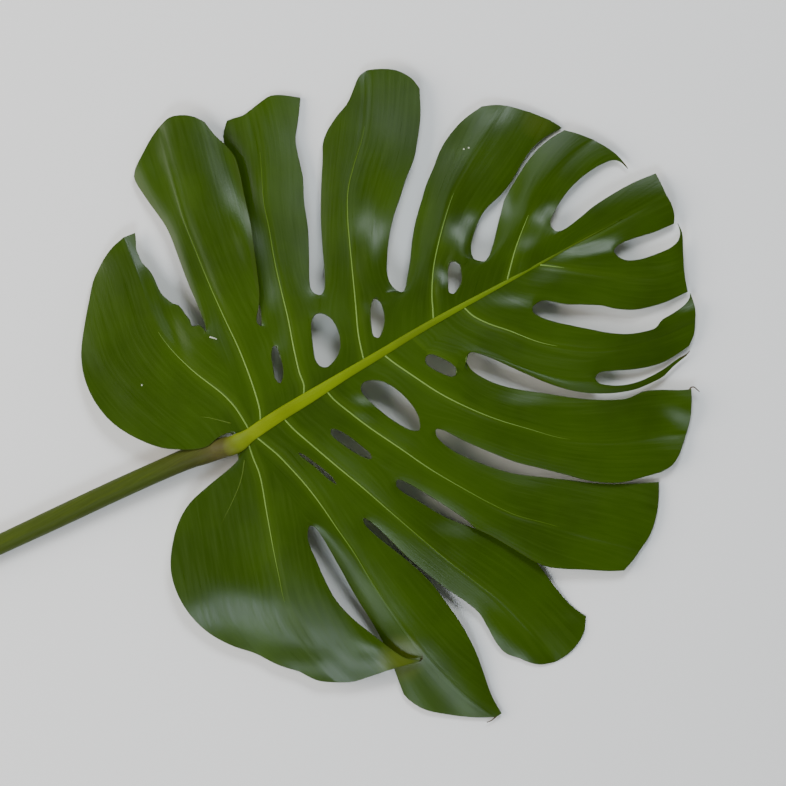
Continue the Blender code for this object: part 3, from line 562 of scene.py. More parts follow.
class Tree:
    """A node tree with short calls that add nodes and link them."""

    def __init__(self, tree: bpy.types.NodeTree) -> None:
        """Starts on an empty or fresh tree."""
        self.tree = tree

    def add(self, kind: str, inputs: dict | None = None, **settings: object) -> bpy.types.Node:
        """Adds a node.

        Args:
            kind: The node's type name without its ShaderNode start.
            inputs: Values or sockets for its inputs, by name or number.
            settings: Values of its own properties.

        Returns:
            The node.
        """
        node = self.tree.nodes.new("ShaderNode" + kind)
        for key, value in settings.items():
            setattr(node, key, value)
        for key, value in (inputs or {}).items():
            self.feed(node.inputs[key], value)
        return node

    def feed(self, socket: Socket, value: object) -> None:
        """Links a socket to an input, or sets the input's value."""
        if isinstance(value, Socket):
            self.tree.links.new(value, socket)
        else:
            socket.default_value = value

    def math(self, operation: str, *values: object) -> Socket:
        """A Math node's result from values or sockets."""
        return self.add("Math", dict(enumerate(values)), operation=operation).outputs[0]

    def mix(self, factor: object, first: object, second: object) -> Socket:
        """Two colours mixed by a factor."""
        return self.add("Mix", {0: factor, 6: first, 7: second}, data_type="RGBA").outputs[2]

    def span(self, value: object, low: float, high: float, start: float = 0.0, end: float = 1.0) -> Socket:
        """A value's place between low and high, eased and clamped, put between start and end."""
        inputs = {0: value, 1: low, 2: high, 3: start, 4: end}
        return self.add("MapRange", inputs, interpolation_type="SMOOTHSTEP").outputs[0]

    def attribute(self, name: str) -> Socket:
        """The number that the mesh carries under a name."""
        return self.add("Attribute", attribute_name=name).outputs["Fac"]

    def ramp(self, value: object, stops: Sequence[tuple[float, tuple]]) -> Socket:
        """A colour ramp's colour at a value."""
        node = self.add("ValToRGB", {0: value})
        ramp = node.color_ramp
        while len(ramp.elements) < len(stops):
            ramp.elements.new(0.5)
        for element, (place, colour) in zip(ramp.elements, stops):
            element.position, element.color = place, colour
        return node.outputs["Color"]


class Grain:
    """The node group of the tissue's long fine streaks and its soft mottling."""

    def __init__(self) -> None:
        """Builds the group once."""
        self.group = bpy.data.node_groups.new("Tissue grain", "ShaderNodeTree")
        face = self.group.interface
        kinds = {"Vector": "NodeSocketVector", "Along": "NodeSocketFloat", "Across": "NodeSocketFloat"}
        for name, kind in kinds.items():
            face.new_socket(name=name, in_out="INPUT", socket_type=kind)
        for name in ("Streak", "Mottle", "Height"):
            face.new_socket(name=name, in_out="OUTPUT", socket_type="NodeSocketFloat")
        tree = Tree(self.group)
        source = self.group.nodes.new("NodeGroupInput")
        result = self.group.nodes.new("NodeGroupOutput")
        vector, along, across = source.outputs[:3]
        scale = tree.add("CombineXYZ", {0: along, 1: across, 2: across}).outputs[0]
        stretched = tree.add("VectorMath", {0: vector, 1: scale}, operation="MULTIPLY").outputs[0]
        inputs = {"Vector": stretched, "Scale": 1.0, "Detail": 3.0, "Roughness": 0.6}
        streak = tree.add("TexNoise", inputs)
        place = tree.add("TexCoord").outputs["Object"]
        mottle = tree.add("TexNoise", {"Vector": place, "Scale": 16.0, "Detail": 4.0, "Roughness": 0.55})
        fine = tree.add("TexNoise", {"Vector": place, "Scale": 900.0, "Detail": 2.0})
        height = tree.math("MULTIPLY_ADD", fine.outputs[0], 0.35, streak.outputs[0])
        for socket, value in zip(result.inputs, (streak.outputs[0], mottle.outputs[0], height)):
            tree.feed(socket, value)

    def on(self, tree: Tree, vector: object, along: float, across: float) -> bpy.types.Node:
        """Places the group in a material with its own stretch."""
        node = tree.add("Group", node_tree=self.group)
        for key, value in (("Vector", vector), ("Along", along), ("Across", across)):
            tree.feed(node.inputs[key], value)
        return node


@dataclass(frozen=True)
class Tissue:
    """One finish of living tissue: its colours and how it shines."""

    name: str
    dark: tuple
    light: tuple
    pale: tuple
    roughness: float
    streaks: float
    relief: float
    shine: float = 0.2
    roughness_spread: float = 0.24
    relief_height: float = 0.0004

    def fresh(self) -> tuple[Material, Tree, bpy.types.Node]:
        """A new material with its tree and its shader, with the constants set."""
        material = bpy.data.materials.new(self.name)
        material.use_nodes = True
        shader = material.node_tree.nodes["Principled BSDF"]
        shader.inputs["Specular IOR Level"].default_value = self.shine
        return material, Tree(material.node_tree), shader

    def mottled(self, tree: Tree, node: bpy.types.Node) -> Socket:
        """The dark and the light colour, mottled by the grain."""
        return tree.mix(tree.span(node.outputs["Mottle"], 0.3, 0.7), self.dark, self.light)

    def streaked(self, tree: Tree, node: bpy.types.Node, colour: object, low: float = 0.35) -> Socket:
        """A colour with the grain's pale streaks over it, from a low value of the grain on."""
        return tree.mix(tree.span(node.outputs["Streak"], low, 0.75, 0.0, self.streaks), colour, self.pale)

    def close(self, tree: Tree, shader: bpy.types.Node, colour: object, grain: bpy.types.Node) -> None:
        """Feeds the shader its colour, roughness and relief."""
        tree.feed(shader.inputs["Base Color"], colour)
        smoothest = self.roughness - self.roughness_spread / 2
        rough = tree.math("MULTIPLY_ADD", grain.outputs["Streak"], self.roughness_spread, smoothest)
        tree.feed(shader.inputs["Roughness"], rough)
        inputs = {"Strength": self.relief, "Distance": self.relief_height, "Height": grain.outputs["Height"]}
        tree.feed(shader.inputs["Normal"], tree.add("Bump", inputs).outputs[0])

    def plain(self, grain: Grain, stretch: tuple[float, float]) -> Material:
        """The tissue with streaks along the leaf and nothing else, for ribs, veins and rims."""
        material, tree, shader = self.fresh()
        node = grain.on(tree, tree.add("TexCoord").outputs["Object"], *stretch)
        self.close(tree, shader, self.streaked(tree, node, self.mottled(tree, node)), node)
        return material

    def fading(self, grain: Grain, stretch: tuple[float, float], far: tuple) -> Material:
        """The tissue of a side vein, which takes the colour of the lamina away from the midrib."""
        material, tree, shader = self.fresh()
        place = tree.add("TexCoord").outputs["Object"]
        node = grain.on(tree, place, *stretch)
        across = tree.add("SeparateXYZ", {0: place}).outputs["Y"]
        away = tree.math("ABSOLUTE", tree.math("SUBTRACT", across, -BASE_AT[1] * MM))
        faded = tree.mix(tree.span(away, 0.03, 0.13), self.mottled(tree, node), far)
        self.close(tree, shader, faded, node)
        return material

    def lamina(self, grain: Grain, stretch: tuple[float, float]) -> Material:
        """The tissue of the lamina: streaked along each vein, paler beside the veins and at the rim."""
        material, tree, shader = self.fresh()
        node = grain.on(tree, tree.add("UVMap", uv_map="lie").outputs[0], *stretch)
        streaked = self.streaked(tree, node, self.mottled(tree, node))
        near = tree.span(tree.attribute("vein"), 7.0, 0.0, 0.0, 0.32)
        veined = tree.mix(tree.math("MULTIPLY", near, tree.attribute("fade")), streaked, self.pale)
        # yellowed tissue; at the first right lobe's thin tip this yellow is also painted light glowing
        # through the leaf
        yellowed_and_glowing = tree.mix(tree.attribute("age"), veined, rgb(132, 136, 40))
        rim = tree.span(tree.attribute("edge"), 0.9, 0.1, 0.0, 0.35)
        self.close(tree, shader, tree.mix(rim, yellowed_and_glowing, rgb(54, 66, 22)), node)
        return material


# where the lamina is tipped a little: x, y, the way its lobe runs in degrees, the reach along the lobe
# and across it, the way that the tissue is tipped in degrees, and the slope
FACETS = (
    (-52, 76, 80, 22, 10, 228, 0.10),
    (0, 96, 80, 24, 6, 238, 0.16),
    (26, 114, 80, 60, 9, 350, 0.20),
    (34, 174, 70, 14, 8, 9, 0.12),
    (70, 122, 76, 32, 8, 51, 0.17),
    (50, 54, 60, 16, 8, 233, 0.14),
    (134, 70, 62, 26, 11, 70, 0.20),
    (108, 30, 60, 9, 5, 60, 0.18),
    (158, 23, 60, 11, 6, 52, 0.28),
    (186, 43, 58, 16, 9, 80, 0.30),
    (190, 82, 45, 24, 14, 235, 0.04),
    (212, 97, 35, 20, 7, 246, 0.12),
    (241, 92, 30, 13, 9, 92, 0.10),
    (215, 15, 30, 13, 8, 55, 0.26),
    (231, 26, 30, 14, 9, 52, 0.32),
    (213, 43, 42, 14, 6, 4, 0.18),
    (252, -9, -12, 18, 7, 68, 0.24),
    (282, -42, -15, 12, 8, 62, 0.18),
    (190, -12, -30, 16, 7, 53, 0.16),
    (282, -68, -20, 13, 10, 82, 0.34),
    (210, -55, -38, 26, 12, 225, 0.06),
    (77, -18, -60, 9, 8, 56, 0.27),
    (163, -67, -45, 16, 8, 85, 0.14),
    (242, -124, -30, 18, 13, 200, 0.30),
    (83, -115, -62, 18, 8, 95, 0.14),
    (120, -198, -60, 12, 8, 60, 0.12),
    (71, -158, -66, 60, 9, 24, 0.17),
    (15, -158, -82, 70, 15, 8, 0.24),
    (-24, -143, -34, 30, 10, 56, 0.15),
    (-52, -93, -58, 34, 18, 243, 0.16),
    (-78, -84, -80, 16, 10, 227, 0.12),
    (2, -157, -22, 24, 11, 227, 0.25),
)


@dataclass
class Ray:
    """A ray of one half of the blade, row by row: its two edges in plan, their heights and its slit."""

    source: Vein | Seam | Margin | None
    lines: list[np.ndarray]
    high: list[np.ndarray] = field(default_factory=list)
    opens: float = 1.0

    @property
    def is_vein(self) -> bool:
        """Whether the ray is a side vein or the midrib's last stretch."""
        return self.source is None or isinstance(self.source, Vein)


@dataclass
class Patch:
    """The lamina between two rays as a grid of points, with what each point knows of its place."""

    half: Half
    points: np.ndarray
    depth: np.ndarray
    vein: np.ndarray
    fade: np.ndarray
    lie: np.ndarray


@dataclass
class Blade:
    """The lamina with its lobes, holes and slits; sizes in millimetres.

    The bed is the share of the midrib's width that each half stays clear of. A ridge stands between two
    veins from its start, a share of the way out, on. A crown bows each strip beside a vein, fully where
    the strip has its span. The rim swells outwards by a little, and the yellow spots give x, y, reach and
    how far the tissue yellows: aged tissue, and at the first right lobe's thin tip also painted light
    glowing through it.
    """

    lamina: float = 0.8
    bed_share: float = 0.4
    keel_depth: float = 2.6
    root_width: float = 9.4
    vein_depth: float = 0.5
    vein_reach: float = 2.0
    fade_end: float = 0.85
    ridge: float = 1.3
    ridge_start: float = 0.22
    crown: float = 0.9
    crown_span: float = 32.0
    crown_fall: float = 1.5
    crown_skew: float = 0.85
    rounding: float = 0.35
    hole_even: float = 0.35
    slit_bunch: float = 1.35
    roll: float = 0.05
    roll_reach: float = 2.0
    pucker: float = 0.3
    pucker_size: float = 34.0
    pucker_reach: float = 6.0
    rim_swell: float = 0.22
    weld: float = 0.012
    soft_rounds: int = 40
    relax_rounds: int = 160
    relax_step: float = 0.8
    vein_columns: tuple[float, ...] = (0.0, 0.13, 0.42, 0.72, 1.0)
    apex_root: float = 240
    apex_tip: Plan = (303.6, -1.0)
    yellowed_and_glowing: Rows = ((17, -168, 16, 0.24), (257, 78, 12, 0.08))

    def midrib_side(self, x: float, half: Half) -> Plan:
        """The edge of the midrib's bed on one side of it."""
        return (x, at(MIDRIB, x, 1) + half * self.bed_share * at(MIDRIB, x, 2))

    def seam_ray(self, seam: Seam, half: Half) -> Ray:
        """Lays out a seam's two edges, without their heights."""
        root = self.midrib_side(seam.root, half)
        edges, marks = dense(list(reversed(seam.before)) + [seam.slit] + seam.after)
        middle = marks[len(seam.before)]
        slits = [edges[middle::-1], edges[middle:]]
        rims: list[np.ndarray] = []
        if seam.hole:
            near, hole_before, hole_after, far = seam.hole
            rim, marks = dense([near] + hole_before + [far] + list(reversed(hole_after)), closed=True)
            turn = marks[len(hole_before) + 1]
            rims = [rim[: turn + 1], rim[: turn - 1 : -1]]
            stem, _ = dense([root] + seam.join + [near])
            bridge, _ = dense([far, seam.slit])
            parts = [length(stem), length(rims[0]), length(bridge)]
        else:
            stem, _ = dense([root] + seam.join + [seam.slit])
            parts = [length(stem)]
        whole = sum(parts) + 0.5 * (length(slits[0]) + length(slits[1]))
        counts = [max(1, round(ROWS / GROUP * part / whole)) for part in parts]
        if seam.hole:
            counts[1] = max(2, counts[1])
        counts = [count * GROUP for count in counts]
        rest = ROWS - sum(counts)
        lines = []
        for i, slit in enumerate(slits):
            line = [sample(stem, np.arange(counts[0] + 1) / counts[0])]
            if seam.hole:
                even = np.arange(counts[1] + 1) / counts[1]
                bunched = 0.5 - 0.5 * np.cos(math.pi * even)
                shares = self.hole_even * even + (1 - self.hole_even) * bunched
                line.append(sample(rims[i], shares)[1:])
                line.append(sample(bridge, np.arange(counts[2] + 1) / counts[2])[1:])
            line.append(sample(slit, (np.arange(rest + 1) / rest) ** self.slit_bunch)[1:])
            lines.append(np.vstack(line))
        return Ray(seam, lines, opens=sum(counts) / ROWS)

    def rays(self, table: Sequence, half: Half) -> list[Ray]:
        """Lays out every ray of one half of the blade, with its heights."""
        s = np.arange(ROWS + 1) / ROWS
        rays = []
        for source in table[0::2]:
            if isinstance(source, Seam):
                rays.append(self.seam_ray(source, half))
                continue
            root = source.root if isinstance(source, Margin) else self.midrib_side(source.root, half)
            line = sample(dense([root] + list(source.points))[0], s)
            rays.append(Ray(source, [line, line]))
        veins = [i for i, ray in enumerate(rays) if ray.is_vein]
        for i in veins:
            start = at(MIDRIB, rays[i].lines[0][0, 0], 3)
            bow = 4 * s * (1 - s) * rays[i].source.lift
            rays[i].high = [start * (1 - s) + rays[i].source.end * s + bow] * 2
        for i, ray in enumerate(rays):
            if ray.is_vein:
                continue
            earlier = max([j for j in veins if j < i], default=min(veins))
            later = min([j for j in veins if j > i], default=max(veins))
            if isinstance(ray.source, Seam) and ray.source.between:
                earlier = later
            self.raise_edges(ray, rays[earlier].high[0], rays[later].high[0], s)
        rays.append(self.apex_ray(s))
        return rays

    def raise_edges(self, ray: Ray, low: np.ndarray, high: np.ndarray, s: np.ndarray) -> None:
        """Gives a seam or a margin its heights, from those of the veins on both sides of it."""
        start = at(MIDRIB, ray.lines[0][0, 0], 3)
        if isinstance(ray.source, Margin):
            edge = high + (start - high[0]) * (1 - s) ** 2 + ray.source.rise * (1 - (1 - s) ** 2)
            ray.high = [edge + 4 * s * (1 - s) * ray.source.bulge] * 2
            return
        risen = np.sin(math.pi / 2 * np.minimum(1, s / self.ridge_start))
        ridge = self.ridge * risen * (ray.source.between or 1)
        joined = start + (low + high - low[0] - high[0]) / 2 + ridge
        x = np.clip((s - ray.opens) / (1 - ray.opens), 0, 1)
        for own, rise in ((low, ray.source.rise[0]), (high, ray.source.rise[1])):
            step = np.interp(ray.opens, s, joined) - np.interp(ray.opens, s, own)
            edge = own + step * (1 - x) ** 2 + rise * (1 - (1 - x) ** 2)
            ray.high.append(np.where(s <= ray.opens, joined, edge))

    def apex_ray(self, s: np.ndarray) -> Ray:
        """The last stretch of the midrib, which both halves of the apex share."""
        root = (self.apex_root, at(MIDRIB, self.apex_root, 1))
        line = sample(dense([root, self.apex_tip])[0], s)
        high = np.array([at(MIDRIB, x, 3) for x in line[:, 0]])
        return Ray(None, [line, line], [high, high])

    def relaxed(self, plan: np.ndarray) -> np.ndarray:
        """Evens out a grid inside its fixed outline, so that no cell of it folds over."""
        for _ in range(self.relax_rounds):
            along = (plan[2:, 1:-1] - plan[:-2, 1:-1]) / 2
            across = (plan[1:-1, 2:] - plan[1:-1, :-2]) / 2
            g11 = (along**2).sum(axis=2, keepdims=True) + 1e-9
            g22 = (across**2).sum(axis=2, keepdims=True) + 1e-9
            g12 = (along * across).sum(axis=2, keepdims=True)
            mixed = plan[2:, 2:] - plan[2:, :-2] - plan[:-2, 2:] + plan[:-2, :-2]
            wanted = g22 * (plan[2:, 1:-1] + plan[:-2, 1:-1]) + g11 * (plan[1:-1, 2:] + plan[1:-1, :-2])
            wanted = (wanted - 0.5 * g12 * mixed) / (2 * (g11 + g22))
            plan[1:-1, 1:-1] += self.relax_step * (wanted - plan[1:-1, 1:-1])
        return plan

    def columns(self, first: Ray, second: Ray) -> np.ndarray:
        """How the columns of a patch lie between its rays: closer together beside a vein."""
        base = np.array(self.vein_columns)
        if not first.is_vein and second.is_vein:
            base = 1 - base[::-1]
        elif not first.is_vein:
            base = np.linspace(0, 1, len(base))
        return np.interp(np.arange(COLUMNS + 1) * (len(base) - 1) / COLUMNS, np.arange(len(base)), base)

    def spread(self, first: Ray, second: Ray, edge_points: Sequence[Plan], t: np.ndarray) -> np.ndarray:
        """Lays out a patch in plan, with its columns at fractions t from the first ray to the second."""
        s = (np.arange(ROWS + 1) / ROWS)[:, None, None]
        even = np.arange(COLUMNS + 1) / COLUMNS
        k = even[None, :, None]
        a, b = first.lines[1][:, None], second.lines[0][:, None]
        outer = sample(dense([a[-1, 0]] + list(edge_points) + [b[-1, 0]])[0], even)[None]
        plan = (1 - k) * a + k * b + s * (outer - (1 - k) * a[-1:] - k * b[-1:])
        plan = self.relaxed(plan)
        return np.array([[np.interp(t, even, row[:, i]) for i in (0, 1)] for row in plan]).transpose(0, 2, 1)

    def heights(self, first: Ray, second: Ray, plan: np.ndarray, t: np.ndarray) -> np.ndarray:
        """The heights of a patch: rounded beside a vein, level at the midrib and bowed by the crown."""
        ease, across = t, t
        if first.is_vein and not second.is_vein:
            ease = t + self.rounding * (np.sin(math.pi / 2 * t) - t)
        elif second.is_vein and not first.is_vein:
            ease, across = t - self.rounding * (np.sin(math.pi / 2 * (1 - t)) - 1 + t), 1 - t
        low, high = first.high[1][:, None], second.high[0][:, None]
        bed = np.array([at(MIDRIB, x, 3) for x in plan[0, :, 0]])
        bed[0], bed[-1] = low[0, 0], high[0, 0]
        s = (np.arange(ROWS + 1) / ROWS)[:, None]
        tall = (1 - ease) * low + ease * high + (1 - s) * (bed - (1 - ease) * low[0] - ease * high[0])
        swell = np.sin(math.pi * (0.06 + 0.62 * s)) * np.minimum(1, s / 0.1)
        wide = np.minimum(1, np.linalg.norm(plan[:, -1] - plan[:, 0], axis=1) / self.crown_span)[:, None]
        bow = np.sin(math.pi * across**self.crown_skew)
        return tall + self.crown * wide**self.crown_fall * swell * bow

    def patch(self, first: Ray, second: Ray, edge_points: Sequence[Plan], half: Half) -> Patch:
        """Fills the room between two rays.

        Args:
            first: The ray nearer the stalk.
            second: The ray nearer the tip.
            edge_points: The margin's points between the two rays' ends.
            half: The half of the blade.

        Returns:
            The grid and what its points know; its rows go outwards and its columns from ray to ray.
        """
        t = self.columns(first, second)
        plan = self.spread(first, second, edge_points, t)
        points = np.dstack([plan, self.heights(first, second, plan, t)])
        steps = np.linalg.norm(np.diff(points, axis=1), axis=2)
        from_first = np.pad(np.cumsum(steps, axis=1), ((0, 0), (1, 0)))
        use_first = first.is_vein or not second.is_vein
        vein = from_first if use_first else from_first[:, -1:] - from_first
        if first.is_vein and second.is_vein:
            vein = np.minimum(from_first, from_first[:, -1:] - from_first)
        column = 0 if use_first else -1
        rows = np.linalg.norm(np.diff(points[:, column], axis=0), axis=1)
        along = np.concatenate([[0], np.cumsum(rows)])[:, None] + 0 * vein
        # each vein's streaks start at a place of their own in the grain
        own_place = half * 0.7 + points[0, column, 0] * 0.013
        lie = np.dstack([along, from_first if use_first else -vein]) * MM + own_place
        fade = np.clip(1 - along / along.max() / self.fade_end, 0, 1)
        keel = np.array([at(MIDRIB, x, 2) for x in plan[0, :, 0]])
        depth = self.vein_depth * fade * np.sqrt(np.clip(1 - (vein / self.vein_reach) ** 2, 0, 1))
        depth[0] = np.maximum(depth[0], self.keel_depth * keel / self.root_width)
        return Patch(half, points, depth, vein, fade, lie)

    def patches(self) -> list[Patch]:
        """Every patch of both halves."""
        found = []
        for table, half in ((LEFT, Half.LEFT), (RIGHT, Half.RIGHT)):
            rays = self.rays(table, half)
            for i, edge_points in enumerate(table[1::2]):
                found.append(self.patch(rays[i], rays[i + 1], edge_points, half))
        return found

    def lay(self, bm: bmesh.types.BMesh, patch: Patch) -> None:
        """Lays one patch as a grid in the mesh."""
        rows, across = patch.points.shape[:2]
        made = bmesh.ops.create_grid(bm, x_segments=across - 1, y_segments=rows - 1, size=1.0)["verts"]
        floats, lie = bm.verts.layers.float, bm.loops.layers.uv["lie"]
        layers = [(floats[name], getattr(patch, name).ravel()) for name in ("depth", "vein", "fade")]
        where = patch.lie.reshape(-1, 2)
        index = {vert: i for i, vert in enumerate(made)}
        for vert, i in index.items():
            vert.co = placed(patch.points[i // across, i % across])
            for layer, values in layers:
                vert[layer] = values[i]
        faces = list({face for vert in made for face in vert.link_faces})
        for face in faces:
            for loop in face.loops:
                loop[lie].uv = where[index[loop.vert]]
        if patch.half is Half.RIGHT:
            bmesh.ops.reverse_faces(bm, faces=faces)

    def zip_midrib(self, bm: bmesh.types.BMesh, left: list, right: list) -> None:
        """Joins the two halves of the blade along the midrib with a strip of triangles."""
        i = j = 0
        last_left, last_right = len(left) - 1, len(right) - 1
        while i < last_left or j < last_right:
            if j == last_right or (i < last_left and left[i + 1].co.x <= right[j + 1].co.x):
                if left[i + 1] is not right[j]:
                    bm.faces.new([right[j], left[i + 1], left[i]])
                i += 1
            else:
                if right[j + 1] is not left[i]:
                    bm.faces.new([right[j], right[j + 1], left[i]])
                j += 1

    def tipped(self, spot: Vector, facets: Sequence[Sequence]) -> float:
        """How far the facets lower a point of the lamina, in millimetres."""
        drop = 0.0
        for middle, turn, long, wide, toward, tilt in facets:
            away = (spot / MM - middle).to_2d()
            if away.length > 3 * max(long, wide):
                continue
            lobe, light = math.radians(turn), math.radians(toward)
            along = away.x * math.cos(lobe) + away.y * math.sin(lobe)
            across = away.y * math.cos(lobe) - away.x * math.sin(lobe)
            up = -(away.x * math.cos(light) + away.y * math.sin(light)) * tilt
            drop -= up * math.exp(-((along / long) ** 2) - (across / wide) ** 2)
        return drop

    def shape_margins(self, bm: bmesh.types.BMesh) -> None:
        """Measures how far each point is from a free edge, rolls the edges down and puckers the lamina."""
        edge_layer, vein = bm.verts.layers.float["edge"], bm.verts.layers.float["vein"]
        rim = [edge for edge in bm.edges if edge.is_boundary]
        spots = [a.co.lerp(b.co, k / 5) for a, b in (edge.verts for edge in rim) for k in range(5)]
        tree = kdtree.KDTree(len(spots))
        for i, spot in enumerate(spots):
            tree.insert(Vector((spot.x, spot.y, 0)), i)
        tree.balance()
        facets = [(placed((x, y, 0)) / MM, *rest) for x, y, *rest in FACETS]
        for vert in bm.verts:
            x, y, _ = vert.co
            gap = tree.find(Vector((x, y, 0)))[2] / MM
            vert[edge_layer] = gap
            drop = self.roll * math.exp(-gap / self.roll_reach) + self.tipped(vert.co, facets)
            wave = noise.noise(Vector((x * self.pucker_size, y * self.pucker_size, 4.0)))
            rise = self.pucker * wave * min(1.0, vert[vein] / self.pucker_reach)
            vert.co.z += (rise - drop) * MM

    def soften(self, bm: bmesh.types.BMesh) -> None:
        """Rounds the creases at the veins and the seams by evening out the heights."""
        inner = [vert for vert in bm.verts if not vert.is_boundary]
        for _ in range(self.soft_rounds):
            bmesh.ops.smooth_vert(bm, verts=inner, factor=0.5, use_axis_z=True)

    def thicken(self, bm: bmesh.types.BMesh) -> None:
        """Gives the sheet its thickness, with a rounded rim, and rests it on the surface."""
        bm.normal_update()
        depth = bm.verts.layers.float["depth"]
        above = {vert: vert.normal.copy() for vert in bm.verts}
        made = bmesh.ops.duplicate(bm, geom=bm.verts[:] + bm.edges[:] + bm.faces[:])
        pairs = made["vert_map"]
        under = [item for item in made["geom"] if isinstance(item, bmesh.types.BMFace)]
        bmesh.ops.reverse_faces(bm, faces=under)
        for face in under:
            face.material_index = Face.UNDER
        for vert, normal in above.items():
            below = pairs[vert]
            below.co = vert.co - normal * (self.lamina + vert[depth]) * MM
            sunk = min(0.0, below.co.z)
            vert.co.z -= sunk
            below.co.z -= sunk
        self.close_rim(bm, above, pairs)

    def close_rim(self, bm: bmesh.types.BMesh, above: dict, pairs: dict) -> None:
        """Joins the two faces of the sheet round every free edge with a rim that swells a little.

        Args:
            bm: The mesh with both faces.
            above: The upper face's points.
            pairs: The point beneath each of them.
        """
        edges = [edge for edge in bm.edges if edge.is_boundary and edge.verts[0] in above]
        out: dict[bmesh.types.BMVert, Vector] = {}
        for edge in edges:
            loop = edge.link_loops[0]
            step = loop.link_loop_next.vert.co - loop.vert.co
            push = Vector((step.y, -step.x, 0)).normalized()
            for vert in edge.verts:
                out[vert] = out.get(vert, Vector()) + push
        lower = [bm.edges.get([pairs[vert] for vert in edge.verts]) for edge in edges]
        for edge in edges + lower:
            edge.smooth = False
        middle = {}
        for vert, push in out.items():
            spot = (vert.co + pairs[vert].co) / 2 + push.normalized() * self.rim_swell * MM
            middle[vert] = bm.verts.new(spot, vert)
        for edge in edges:
            loop = edge.link_loops[0]
            start, end = loop.vert, loop.link_loop_next.vert
            for quad in (
                [end, start, middle[start], middle[end]],
                [middle[end], middle[start], pairs[start], pairs[end]],
            ):
                bm.faces.new(quad).material_index = Face.RIM

    def age(self, bm: bmesh.types.BMesh) -> None:
        """Marks where the tissue yellows: the first right lobe's tip, where the yellow is also painted light
        glowing through the thin tissue, and the fourth left lobe's end.
        """
        layer = bm.verts.layers.float["age"]
        for vert in bm.verts:
            for x, y, reach, most in self.yellowed_and_glowing:
                away = (vert.co - placed((x, y, vert.co.z / MM))).length / MM
                vert[layer] = max(vert[layer], most * max(0.0, 1 - (away / reach) ** 2))

    def build(self, materials: list[Material]) -> bpy.types.Object:
        """Builds the blade and stands it in for its node."""
        bm = bmesh.new()
        for name in ("depth", "vein", "fade", "edge", "age"):
            bm.verts.layers.float.new(name)
        bm.loops.layers.uv.new("lie")
        beds: dict[Half, list] = {half: [] for half in Half}
        for patch in self.patches():
            beds[patch.half].append([placed(point) for point in patch.points[0]])
            self.lay(bm, patch)
        bmesh.ops.remove_doubles(bm, verts=bm.verts[:], dist=self.weld * MM)
        self.zip_midrib(bm, self.bed(bm, beds[Half.LEFT]), self.bed(bm, beds[Half.RIGHT]))
        self.soften(bm)
        bmesh.ops.triangulate(bm, faces=bm.faces[:])
        self.shape_margins(bm)
        self.age(bm)
        self.thicken(bm)
        piece = piece_of(bm, "leaf_blade", materials)
        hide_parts("blade")
        return piece

    def bed(self, bm: bmesh.types.BMesh, rows: list[list[Vector]]) -> list[bmesh.types.BMVert]:
        """The joined points of one half beside the midrib, from the notch to the apex."""
        rim = {vert for edge in bm.edges if edge.is_boundary for vert in edge.verts}
        tree = kdtree.KDTree(len(rim))
        verts = list(rim)
        for i, vert in enumerate(verts):
            tree.insert(vert.co, i)
        tree.balance()
        found = []
        for spot in (spot for row in rows for spot in row):
            vert = verts[tree.find(spot)[1]]
            if not found or vert is not found[-1]:
                found.append(vert)
        return found


def under(tree: BVHTree, spot: Plan, otherwise: float, up: bool = True) -> float:
    """Looks for the blade at a spot in plan.

    Args:
        tree: The blade's faces.
        spot: The spot.
        otherwise: The height where the blade has no face there.
        up: Whether the upper face is wanted, or else the lower one.

    Returns:
        The height of the face in millimetres.
    """
    start = placed((*spot, OVER if up else BENEATH))
    hit = tree.ray_cast(start, Vector((0, 0, -1 if up else 1)))[0]
    return hit.z / MM if hit else otherwise


